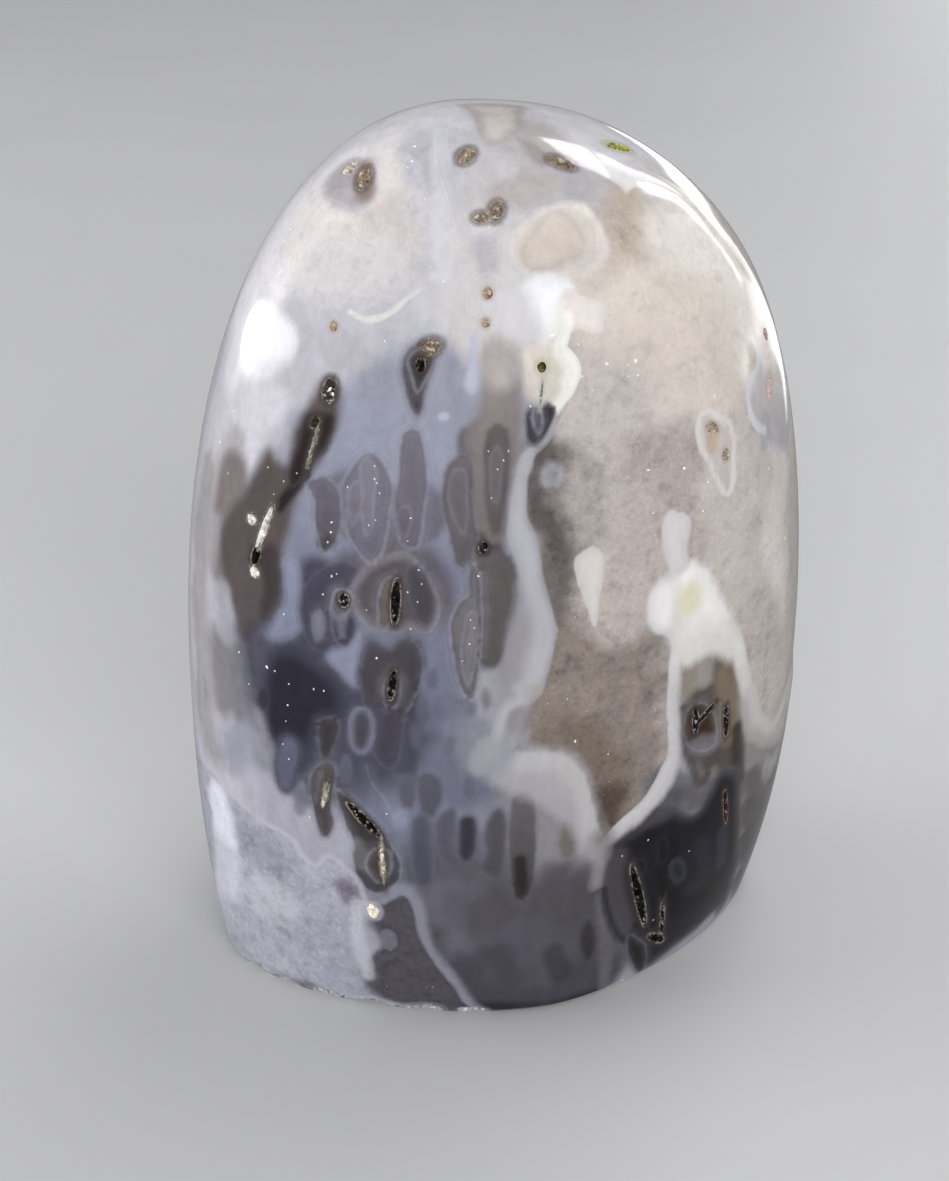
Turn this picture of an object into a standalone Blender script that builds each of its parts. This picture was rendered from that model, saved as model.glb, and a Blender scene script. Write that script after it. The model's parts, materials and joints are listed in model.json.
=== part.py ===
"""A polished free-standing agate: one stone with a rounded top, sawn flat underneath.

The stone stands on z = 0 with the middle of its outline box on the z axis. Seen from the front, +X is to the
right and +Y is away from the viewer. Turn is the angle round the stone in degrees: 0 faces the viewer, and it
grows towards the right. Latitude runs from the widest level, 0, to the crown, 90 degrees.
"""

import math
import random
from typing import NamedTuple

import bmesh
import bpy
from mathutils import Matrix, Vector

MM = 0.001

# Outline of the stone
HEIGHT = 120 * MM
HALF_WIDTH = 44.6 * MM
HALF_DEPTH = 31.1 * MM
WAIST_HEIGHT = 37.5 * MM
LOWER_REACH = 86 * MM
PROFILE_POWER = 2.32
DOME_POWER = 2.49
CROWN_SQUARENESS = 2.51
BASE_SQUARENESS = 1.64
BASE_TWIST = math.radians(28)
RIGHT_SHOULDER_SWELL = 0.074
RIGHT_SHOULDER_LATITUDE = math.radians(50)
RIGHT_SHOULDER_SPREAD = math.radians(20)
LEFT_SIDE_TRIM = 0.067

# Flat ground along the right and top of the front rim
RIM_SLOPE = math.tan(math.radians(20))
RIM_START = 4 * MM
RIM_REACH = 30 * MM
RIM_ROUNDING = 0.02
RIM_FADE = 0.3
RIM_RIGHT_ANGLES = (-25, 5)
RIM_TOP_ANGLES = (70, 100)

# Facets of the outer skin, and the narrow bevel round the sawn base
COLUMNS = 76
ROWS = 36
BASE_BEVEL = 0.5 * MM

# How irregular the walls of pits and chips are
PIT_ROUGHNESS = 0.13
CHIP_ROUGHNESS = 0.22

STONE_COLOUR = (0.40, 0.38, 0.43, 1.0)
STONE_ROUGHNESS = 0.08


class Pit(NamedTuple):
    """A hollow in the skin: place by turn and height, length along its lean, and depth, in degrees and mm."""

    name: str
    turn: float
    height: float
    length: float
    width: float
    depth: float
    lean: float


FRONT_PITS = (
    Pit("crystal vug", -43, 71, 10.0, 2.2, 2.4, 17),
    Pit("brown vug", -30.5, 90.2, 3.4, 2.1, 1.6, 0),
    Pit("brown slit", -34, 83.6, 5.6, 0.9, 2.0, 12),
    Pit("teardrop hole", -12.5, 94.3, 1.8, 1.2, 2.2, 0),
    Pit("teardrop druse", -9.5, 96.6, 2.8, 2.0, 1.2, 66),
    Pit("cell slit", -19.2, 64.2, 6.4, 1.2, 2.6, 3),
    Pit("lower cell slit", -21.7, 52.6, 4.6, 1.0, 2.2, 8),
    Pit("round hole", -28.8, 63.9, 1.9, 1.4, 1.4, 0),
    Pit("open crack", -31.5, 32.1, 6.7, 1.2, 2.6, -42),
    Pit("crack tail", -29.5, 25.4, 7.0, 0.7, 1.0, -2),
    Pit("short slit", -38.7, 35.1, 5.0, 0.8, 1.5, 11),
    Pit("tall crack", 18.8, 15.4, 12.5, 1.3, 3.0, -17),
    Pit("tall crack foot", 24.0, 6.0, 4.6, 1.2, 2.0, -52),
    Pit("tall crack branch", 25.2, 9.4, 6.4, 0.7, 1.2, -9),
    Pit("left notch", 31.8, 42.5, 4.4, 0.9, 2.0, -7),
    Pit("slanted notch", 34.2, 43.1, 4.0, 0.8, 1.6, 48),
    Pit("right notch", 39.2, 40.6, 5.8, 0.9, 2.0, -9),
    Pit("red slit", 40.8, 25.0, 6.8, 0.8, 1.4, -16),
    Pit("shoulder druse", -54, 114.3, 3.0, 2.4, 1.2, -40),
    Pit("shoulder druse foot", -42.5, 113.9, 3.8, 2.2, 1.4, -30),
    Pit("crown druse", -3.7, 117.1, 3.0, 2.2, 1.2, 21),
    Pit("ring druse", 7.8, 111.8, 2.8, 1.8, 1.2, 10),
    Pit("ring druse step", 3.2, 111.1, 2.0, 1.3, 1.0, 90),
    Pit("rim druse", 37.5, 116.4, 3.8, 1.8, 1.1, -56),
    Pit("green vug", 80.2, 116.1, 4.8, 2.2, 1.5, -47),
    Pit("upper dot", 3.5, 102.9, 1.7, 1.4, 0.9, 0),
    Pit("lower dot", 2.5, 99.5, 1.3, 1.1, 0.7, 0),
    Pit("green hole", 12.5, 94.3, 1.6, 1.4, 1.6, 0),
    Pit("green slit", 11.5, 91.4, 3.0, 0.7, 0.9, 9),
    Pit("cross pit", -32.0, 97.9, 1.5, 1.2, 0.6, 0),
    Pit("tan pit", 42.6, 84.6, 2.3, 1.6, 0.9, -48),
    Pit("tan pit foot", 44.4, 80.6, 1.9, 1.3, 0.8, 0),
    Pit("pink druse", 75.2, 92.0, 2.0, 1.3, 0.8, 0),
    Pit("pink druse foot", 68.8, 85.6, 3.4, 1.8, 1.0, 34),
    Pit("dimple", -2.5, 71.5, 1.6, 1.2, 0.9, 0),
    Pit("cream druse", -33.8, 17.4, 2.6, 2.0, 0.9, -10),
)

BACK_PITS = (
    Pit("back vug", 152, 84, 6.0, 2.6, 1.8, 12),
    Pit("back slit", -158, 58, 7.5, 1.1, 2.2, -14),
    Pit("back druse", 176, 103, 2.8, 2.0, 1.1, 30),
    Pit("back crack", -132, 34, 8.0, 1.0, 2.2, 24),
    Pit("right side vug", 112, 62, 4.4, 1.8, 1.5, -8),
    Pit("left side druse", -104, 92, 2.6, 1.8, 1.0, 15),
)

BASE_CHIPS = (
    Pit("chip 1", -99, 0.4, 5.0, 1.6, 1.0, 84),
    Pit("chip 2", -86, 0.3, 6.4, 2.2, 1.4, 96),
    Pit("chip 3", -76, 0.6, 4.2, 2.4, 1.6, 82),
    Pit("chip 4", -66, 0.3, 5.6, 1.8, 1.3, 94),
    Pit("chip 5", -53, 0.4, 7.0, 1.8, 1.2, 88),
    Pit("chip 6", -40, 0.2, 8.0, 2.6, 1.5, 91),
    Pit("chip 7", -28, 0.2, 6.4, 3.0, 1.3, 87),
    Pit("chip 8", -17, 0.3, 5.0, 1.6, 1.0, 95),
    Pit("chip 9", 14, 0.2, 4.0, 1.2, 0.8, 90),
)


def smooth_step(low, high, value):
    """Rise from 0 at low to 1 at high, with no corners."""
    t = min(max((value - low) / (high - low), 0.0), 1.0)
    return t * t * (3 - 2 * t)


def soft_min(first, second, width):
    """The smaller of two values, with their crossing rounded over width."""
    share = min(max(0.5 + 0.5 * (second - first) / width, 0.0), 1.0)
    return second + (first - second) * share - width * share * (1 - share)


def side_swell(across, latitude):
    """How much wider than the plain form the stone is, at a sideways direction from -1 to 1."""
    if across > 0:
        offset = (latitude - RIGHT_SHOULDER_LATITUDE) / RIGHT_SHOULDER_SPREAD
        return RIGHT_SHOULDER_SWELL * math.exp(-offset * offset) * math.sqrt(across)
    return -LEFT_SIDE_TRIM * math.sqrt(-across)


def rim_factor(x, y, rise, reach, swell):
    """How far the flat on the front rim draws a point in towards the middle of the stone."""
    outer = abs(x / (HALF_WIDTH * (1 + swell))) ** PROFILE_POWER
    upper = (max(rise, 0.0) / reach) ** PROFILE_POWER
    radius = (outer + upper) ** (1 / PROFILE_POWER)
    if radius < 1e-6:
        return 1.0
    angle = math.degrees(math.atan2(rise, x))
    ground = smooth_step(*RIM_RIGHT_ANGLES, angle) * (1 - smooth_step(*RIM_TOP_ANGLES, angle))
    limit = 1 - RIM_SLOPE * max(-y - RIM_START, -RIM_REACH) / HALF_WIDTH + (1 - ground) * RIM_FADE
    return min(soft_min(radius, limit, RIM_ROUNDING) / radius, 1.0)


def stone_point(turn, latitude):
    """Point of the polished skin, before the pits are cut, with both angles in radians."""
    heading = turn - math.pi / 2
    flat, steep = abs(math.cos(latitude)), abs(math.sin(latitude))
    scale = (flat**PROFILE_POWER + steep**PROFILE_POWER) ** (1 / PROFILE_POWER)
    rise_share, width_share = steep / scale, flat / scale
    depth_share = max(1 - rise_share**DOME_POWER, 0.0) ** (1 / DOME_POWER)
    reach = HEIGHT - WAIST_HEIGHT if latitude > 0 else LOWER_REACH
    rise = math.copysign(reach * rise_share, latitude)
    lowness = 1 - (WAIST_HEIGHT + rise) / HEIGHT
    squareness = CROWN_SQUARENESS + (BASE_SQUARENESS - CROWN_SQUARENESS) * max(lowness, 0.0) ** 2
    across, away = math.cos(heading), math.sin(heading)
    radius = (abs(across) ** squareness + abs(away) ** squareness) ** (-1 / squareness)
    swell = side_swell(across, latitude)
    x = HALF_WIDTH * width_share * (1 + swell) * across * radius
    y = HALF_DEPTH * depth_share * away * radius
    factor = rim_factor(x, y, rise, reach, swell)
    x *= factor
    if rise > 0:
        rise *= factor
    z = WAIST_HEIGHT + rise
    twist = BASE_TWIST * (1 - z / HEIGHT)
    turned_x = x * math.cos(twist) - y * math.sin(twist)
    turned_y = x * math.sin(twist) + y * math.cos(twist)
    return Vector((turned_x, turned_y, z))


def latitude_at(turn, height):
    """Latitude at which the skin reaches a height, found by halving."""
    low, high = math.radians(-45), math.radians(90)
    for _ in range(40):
        middle = (low + high) / 2
        if stone_point(turn, middle).z < height:
            low = middle
        else:
            high = middle
    return (low + high) / 2


def skin_frame(turn, height):
    """Point on the skin with its across, up and outward directions."""
    latitude = latitude_at(turn, height)
    step = math.radians(0.5)
    point = stone_point(turn, latitude)
    along_turn = stone_point(turn + step, latitude) - stone_point(turn - step, latitude)
    along_rise = stone_point(turn, latitude + step) - stone_point(turn, latitude - step)
    outward = along_turn.cross(along_rise).normalized()
    upward = (Vector((0, 0, 1)) - outward * outward.z).normalized()
    return point, upward.cross(outward), upward, outward


def ring_latitudes(turn):
    """Latitudes of the rings of one column, from just above the base bevel to just below the crown."""
    first = latitude_at(turn, BASE_BEVEL)
    last = math.radians(90)
    return [first + (last - first) * row / ROWS for row in range(ROWS)]


def build_skin():
    """Closed mesh of the whole stone: rings of points, one point at the crown and one flat face below."""
    skin = bmesh.new()
    columns = []
    for column in range(COLUMNS):
        turn = 2 * math.pi * column / COLUMNS
        points = [stone_point(turn, latitude) for latitude in ring_latitudes(turn)]
        inward = Vector((-points[0].x, -points[0].y, 0)).normalized() * BASE_BEVEL
        base_point = Vector((points[0].x, points[0].y, 0)) + inward
        columns.append([skin.verts.new(point) for point in [base_point, *points]])
    crown = skin.verts.new((0, 0, HEIGHT))
    for column, here in enumerate(columns):
        beside = columns[(column + 1) % COLUMNS]
        for row in range(ROWS):
            skin.faces.new((here[row], beside[row], beside[row + 1], here[row + 1]))
        skin.faces.new((here[ROWS], beside[ROWS], crown))
    skin.faces.new([column[0] for column in reversed(columns)])
    bmesh.ops.recalc_face_normals(skin, faces=skin.faces)
    return skin


def box_middle(points):
    """Middle of the plan of a set of points."""
    xs = [point.x for point in points]
    ys = [point.y for point in points]
    return Vector(((min(xs) + max(xs)) / 2, (min(ys) + max(ys)) / 2, 0))


def add_object(name, mesh_data, collection):
    """Object made from a bmesh, which is freed."""
    mesh = bpy.data.meshes.new(name)
    mesh_data.to_mesh(mesh)
    mesh_data.free()
    built = bpy.data.objects.new(name, mesh)
    collection.objects.link(built)
    return built


def add_cutter(pit, roughness, seed, shift, collection):
    """Lumpy faceted body that leaves one pit, half of it standing proud of the skin."""
    rng = random.Random(seed)
    point, across, upward, outward = skin_frame(math.radians(pit.turn), pit.height * MM)
    lean = math.radians(pit.lean)
    along = upward * math.cos(lean) + across * math.sin(lean)
    sideways = along.cross(outward)
    lump = bmesh.new()
    bmesh.ops.create_icosphere(lump, subdivisions=2, radius=1)
    for vertex in lump.verts:
        vertex.co *= 1 + rng.uniform(-roughness, roughness)
    half_sizes = Vector((pit.width / 2, pit.length / 2, pit.depth)) * MM
    placing = Matrix((sideways, along, outward)).transposed().to_4x4()
    placing.translation = point - shift
    bmesh.ops.transform(lump, matrix=placing @ Matrix.Diagonal(half_sizes).to_4x4(), verts=lump.verts)
    cutter = add_object(pit.name.replace(" ", "_") + "_cutter", lump, collection)
    cutter.hide_render = True
    cutter.display_type = "WIRE"


def stone_material():
    """Plain finish of the polished stone."""
    material = bpy.data.materials.new("polished_agate")
    material.use_nodes = True
    shader = material.node_tree.nodes["Principled BSDF"]
    shader.inputs["Base Color"].default_value = STONE_COLOUR
    shader.inputs["Roughness"].default_value = STONE_ROUGHNESS
    shader.inputs["Metallic"].default_value = 0.0
    material.diffuse_color = STONE_COLOUR
    return material


def build_stone():
    """The stone with every pit and chip cut out of it."""
    cutters = bpy.data.collections.new("Cutters")
    bpy.context.scene.collection.children.link(cutters)
    skin = build_skin()
    shift = box_middle([vertex.co for vertex in skin.verts])
    bmesh.ops.translate(skin, vec=-shift, verts=skin.verts)
    stone = add_object("stone", skin, bpy.context.scene.collection)
    stone.data.materials.append(stone_material())
    for seed, pit in enumerate(FRONT_PITS + BACK_PITS):
        add_cutter(pit, PIT_ROUGHNESS, seed, shift, cutters)
    for seed, chip in enumerate(BASE_CHIPS, start=100):
        add_cutter(chip, CHIP_ROUGHNESS, seed, shift, cutters)
    cut = stone.modifiers.new("Pits", "BOOLEAN")
    cut.operation = "DIFFERENCE"
    cut.solver = "EXACT"
    cut.operand_type = "COLLECTION"
    cut.collection = cutters
    stone.data.shade_smooth()
    stone.data.set_sharp_from_angle(angle=math.radians(30))


def main():
    """Clear the scene and build the stone."""
    for old in list(bpy.data.objects):
        bpy.data.objects.remove(old, do_unlink=True)
    build_stone()


main()
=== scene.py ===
"""Looks of a polished free-standing agate: banded chalcedony and granular quartz with crystal-lined pits.

Lengths in the pattern and the outline are millimetres, and are turned into metres where a mesh is made.
Turn is the angle round the stone in degrees, 0 at the front and growing to the right. A place that was read
from the photograph is given as a pixel of its 949 by 1181 frame.
"""

import json
import math
import random
from typing import NamedTuple

import bmesh
import bpy
import numpy as np
from bpy.props import FloatProperty, FloatVectorProperty, IntProperty, PointerProperty
from mathutils import Matrix, Vector, noise
from mathutils.kdtree import KDTree

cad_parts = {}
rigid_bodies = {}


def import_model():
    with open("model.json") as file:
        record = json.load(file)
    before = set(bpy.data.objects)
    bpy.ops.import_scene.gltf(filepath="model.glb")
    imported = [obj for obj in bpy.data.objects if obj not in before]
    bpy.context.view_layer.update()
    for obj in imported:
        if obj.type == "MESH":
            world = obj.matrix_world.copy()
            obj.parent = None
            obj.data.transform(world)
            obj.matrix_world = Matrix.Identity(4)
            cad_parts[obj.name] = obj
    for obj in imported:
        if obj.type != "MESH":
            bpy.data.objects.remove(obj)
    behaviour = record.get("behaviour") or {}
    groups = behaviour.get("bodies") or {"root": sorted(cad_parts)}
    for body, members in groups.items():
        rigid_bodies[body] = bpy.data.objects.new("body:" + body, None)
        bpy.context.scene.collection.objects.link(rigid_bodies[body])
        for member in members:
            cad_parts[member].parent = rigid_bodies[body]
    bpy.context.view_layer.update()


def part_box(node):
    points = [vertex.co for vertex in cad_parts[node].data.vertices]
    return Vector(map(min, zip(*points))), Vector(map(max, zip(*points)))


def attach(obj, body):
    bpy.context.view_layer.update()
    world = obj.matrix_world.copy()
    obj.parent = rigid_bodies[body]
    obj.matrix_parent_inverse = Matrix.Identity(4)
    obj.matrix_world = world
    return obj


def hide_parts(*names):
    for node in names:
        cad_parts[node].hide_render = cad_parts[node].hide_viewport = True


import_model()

bl_info = {
    "name": "Polished Agate Free Form",
    "version": (1, 0, 0),
    "blender": (4, 5, 0),
    "location": "View3D > Sidebar > Agate",
    "description": "Builds the finish of a polished agate: skin, pits, banding and a plain studio",
    "category": "Object",
}

MM = 0.001
STONE_LOW, STONE_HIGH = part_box("stone")

# Outline of the stone
HEIGHT = (STONE_HIGH.z - STONE_LOW.z) / MM
HALF_WIDTH = 44.6
HALF_DEPTH = 31.1
WAIST_HEIGHT = 37.5
LOWER_REACH = 86.0
PROFILE_POWER = 2.32
DOME_POWER = 2.49
CROWN_SQUARENESS = 2.51
BASE_SQUARENESS = 1.64
BASE_TWIST = math.radians(28)
RIGHT_SHOULDER_SWELL = 0.074
RIGHT_SHOULDER_LATITUDE = math.radians(50)
RIGHT_SHOULDER_SPREAD = math.radians(20)
LEFT_SIDE_TRIM = 0.067

# Flat ground along the right and top of the front rim
RIM_SLOPE = math.tan(math.radians(20))
RIM_START = 4.0
RIM_REACH = 30.0
RIM_ROUNDING = 0.02
RIM_FADE = 0.3
RIM_RIGHT_ANGLES = (-25, 5)
RIM_TOP_ANGLES = (70, 100)
BASE_BEVEL = 0.5

# Where the photograph was taken from, round the middle of the stone
PHOTO_SIZE = (949, 1181)
PHOTO_TURN = math.radians(8)
PHOTO_ELEVATION = math.radians(25)
PHOTO_DISTANCE = 360.0
PHOTO_FOCAL = 2598.0
PHOTO_MIDDLE = (484, 532)
SENSOR = 36.0

# Long lights that the right shoulder and rim mirror: the photo's pixels along them, the width in m of each
# stretch between two pixels, and the power for each metre of width
STREAKS = (
    (((556, 150), (600, 164), (648, 184), (700, 224), (742, 284)), (0.30, 0.32, 0.09, 0.04), 8),
    (((676, 184), (718, 224), (752, 282), (772, 350)), (0.5, 0.5, 0.4), 1.7),
)
STREAK_DISTANCE = 700

# Rounded glare of a window on the left: its pixels with their radii, the power of a light for a radius of
# one pixel, and how many mm away the lights stand
WINDOW_GLARE = (((260, 341), 38), ((274, 338), 24))
GLARE_POWER = 0.0013
GLARE_DISTANCE = 600

# Lights of the room: name, place and sizes in m, power, and whether the gloss shows them
ROOM_LIGHTS = (
    ("top_light", (0.35, 0.4, 1.0), (0.9, 0.6), 4.8, False),
    ("left_light", (-0.9, 0.1, 0.45), (0.25, 0.8), 0.8, True),
    ("front_light", (0.5, -1.7, 0.8), (1.8, 1.2), 34.0, False),
)

# Where the room's lights point, the colour of its even light, and how near and far the camera sees, in m
LIT_PLACE = (0.0, 0.0, 0.06)
ROOM_COLOUR = (0.96, 0.97, 1.0, 1.0)
CAMERA_RANGE = (0.01, 20.0)

# Share of the columns' spacing that is kept at the front, where the skin is finest, the stops on a path up
# the skin by which its rows are spaced, and the turn between faces from which their edge is sharp
FRONT_SPACING = 0.43
PATH_STOPS = 4001
SHARP_EDGE = math.radians(32)

# Columns and rows that are enough to find the stone's place in its box
COARSE_MESH = (60, 40)

# Height in mm of the middle of the front's flat map, and how far the stone reaches up and down from there
CHART_MIDDLE = 50
CHART_REACH = 70

# Turns and latitudes in degrees, each with its step, among which a pixel's place is first looked for
SEARCH_TURNS = (-110, 110, 1.0)
SEARCH_LATITUDES = (-26, 89.5, 0.75)

# Latitudes between which a height is found, and how often that range is halved
LATITUDE_RANGE = (math.radians(-45), math.radians(90))
HALVINGS = 26

UP = np.array((0.0, 0.0, 1.0))
TINY = 1e-6

# Dents of a pit's walls, each the mark of one crystal. Those of pits this wide in mm or wider are deeper
BROAD_PIT = 1.8
BROAD_BITE = 0.30
NARROW_BITE = 0.16
DENTS_PER_AREA = 3.0
FEWEST_DENTS = 16
DENT_SIZES = (0.6, 1.4)
DENT_SPACING = 3.5

# Spacing in mm of a curve's points, and how many stretches of it are measured together
CURVE_SPACING = 0.8
CURVE_RUN = 12

# How far in mm quartz, lines and stains are followed, and how many times its blur the milk is
QUARTZ_REACH = 9.0
LINE_REACH = 3.0
STAIN_REACH = 2.5
MILK_RANGE = 6.0
HOLE_EDGE = 0.3

# How the edges of the pattern stray, as waves per mm and their shares, and how much of that its cells and
# its broad washes follow. A wash that fades over more than the broad reach in mm is a broad one
STRAY_WAVES = ((0.16, 1.6), (0.55, 0.6))
CELL_STRAY = 0.4
WASH_STRAY = 2.6
BROAD_REACH = 2.4

# Albedo of a tone from 0 to 1: its power, gain, the lift that is taken away, the least value, and how much
# of its colour is kept
TONE_POWER = 2.40
TONE_GAIN = 0.94
TONE_LIFT = 0.004
DARKEST = 0.004
TONE_COLOUR = 0.86

# Corners of a drop's outline, pixels per mm at the front, and the stone's radius in mm at its sides
DROP_CORNERS = 10
PIXELS_PER_MM = 7.3
SIDE_RADIUS = 38.0

# Drops of the sides and back: ranges of their turn, height, half length, half width, shade, lean,
# narrowing and rim, their tints, and the middle and half size of the place at the back that has none
SIDE_DROP_COUNT = 60
SIDE_RANGES = ((100, 262), (22, 84), (2.0, 6.5), (0.9, 1.9), (92, 132), (-6, 6), (0, 0.3), (0.1, 0.4))
SIDE_STRENGTH = 0.85
EDGE_TINT = (1.0, 0.97, 1.06)
MIDDLE_TINT = (1.08, 1.04, 1.14)
BARE_TURN = (180, 14)
BARE_HEIGHT = (50, 16)

# Crystals per square mm of a pit, and their share where its walls are no brighter than a dark wall
CROWDING = 3.2
DARK_CROWDING = 0.3
DARK_WALL = 0.1
FEWEST_CRYSTALS = 3
MOST_CRYSTALS = 80

# Crystals in a pit: how far down its wall from 0 to 1, widths as shares of the grain, lengths as shares of
# the width, shades of the wall's colour with the brightest, and how far they lean
CRYSTAL_SINKS = (0.35, 1.0)
CRYSTAL_WIDTHS = (0.6, 1.1)
CRYSTAL_LENGTHS = (1.2, 2.2)
CRYSTAL_SHADES = (0.75, 1.5)
BRIGHTEST = 0.85
CRYSTAL_LEAN = 0.5

# Where a crystal's root is, as a share of the way to the wall and then in mm under it, how much of the pit's
# depth it may fill, and the share of its length at which its point begins
CRYSTAL_SEAT = 0.97
CRYSTAL_ROOT = 0.1
CRYSTAL_FILL = 0.6
SHOULDER_SHARE = 0.62

# Specks in the polished skin: rise over it and depth in mm, how their shapes vary, and their linear colour
SPECK_RISE = 0.015
SPECK_DEPTH = 0.10
SPECK_STRETCHES = (0.7, 1.4)
SPECK_LUMPS = 0.25
SPECK_COLOUR = (0.84, 0.83, 0.80)

# Linear colours of the materials, and the refractive index of quartz
SPARK_COLOUR = (0.85, 0.84, 0.82, 1.0)
GLINT_COLOUR = (0.85, 0.83, 0.78, 1.0)
CREAM_COLOUR = (0.60, 0.55, 0.46, 1.0)
PLAIN_WALL = (0.4, 0.36, 0.32)
QUARTZ_IOR = 1.54

# Beyond this many reaches of its stain a pit leaves the skin as it is
STAIN_END = 6.0


class Lining(NamedTuple):
    """Linear colours of a pit's walls and of the stone round it, and how far that stain reaches in mm."""

    wall: tuple
    stain: tuple
    reach: float
    strength: float


WHITE_CRYSTALS = Lining((0.80, 0.79, 0.74), (0.09, 0.075, 0.065), 0.9, 0.6)
BROWN_DRUSE = Lining((0.30, 0.23, 0.17), (0.10, 0.075, 0.06), 0.9, 0.7)
TAN_DRUSE = Lining((0.42, 0.33, 0.25), (0.40, 0.34, 0.30), 0.5, 0.6)
PINK_DRUSE = Lining((0.50, 0.38, 0.33), (0.48, 0.40, 0.37), 1.2, 0.7)
# The near-black walls of the dark slits and black cracks are their own dark colour together with painted
# shade deep inside the narrow openings
DARK_SHADED_SLIT = Lining((0.025, 0.022, 0.02), (0.045, 0.035, 0.03), 0.7, 0.85)
BLACK_SHADED_CRACK = Lining((0.015, 0.012, 0.01), (0.04, 0.032, 0.028), 1.0, 0.8)
CREAM_CRACK = Lining((0.55, 0.52, 0.44), (0.06, 0.05, 0.045), 0.8, 0.7)
GREEN_CRYSTALS = Lining((0.34, 0.33, 0.06), (0.45, 0.44, 0.30), 1.0, 0.7)
OLIVE_CRYSTALS = Lining((0.16, 0.13, 0.04), (0.42, 0.40, 0.30), 0.9, 0.6)
PALE_CRACK = Lining((0.40, 0.42, 0.36), (0.42, 0.42, 0.40), 0.4, 0.5)
BROWN_HOLLOW = Lining((0.07, 0.05, 0.04), (0.055, 0.042, 0.038), 1.0, 0.8)
RED_SLIT = Lining((0.05, 0.018, 0.012), (0.05, 0.03, 0.026), 0.7, 0.8)
CREAM_DRUSE = Lining((0.82, 0.76, 0.66), (0.45, 0.45, 0.50), 0.8, 0.5)
PALE_DRUSE = Lining((0.55, 0.50, 0.44), (0.30, 0.29, 0.31), 0.8, 0.5)


class Pit(NamedTuple):
    """A hollow in the skin, in degrees and mm, with its length along its lean."""

    turn: float
    height: float
    length: float
    width: float
    depth: float
    lean: float
    lining: Lining


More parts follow.
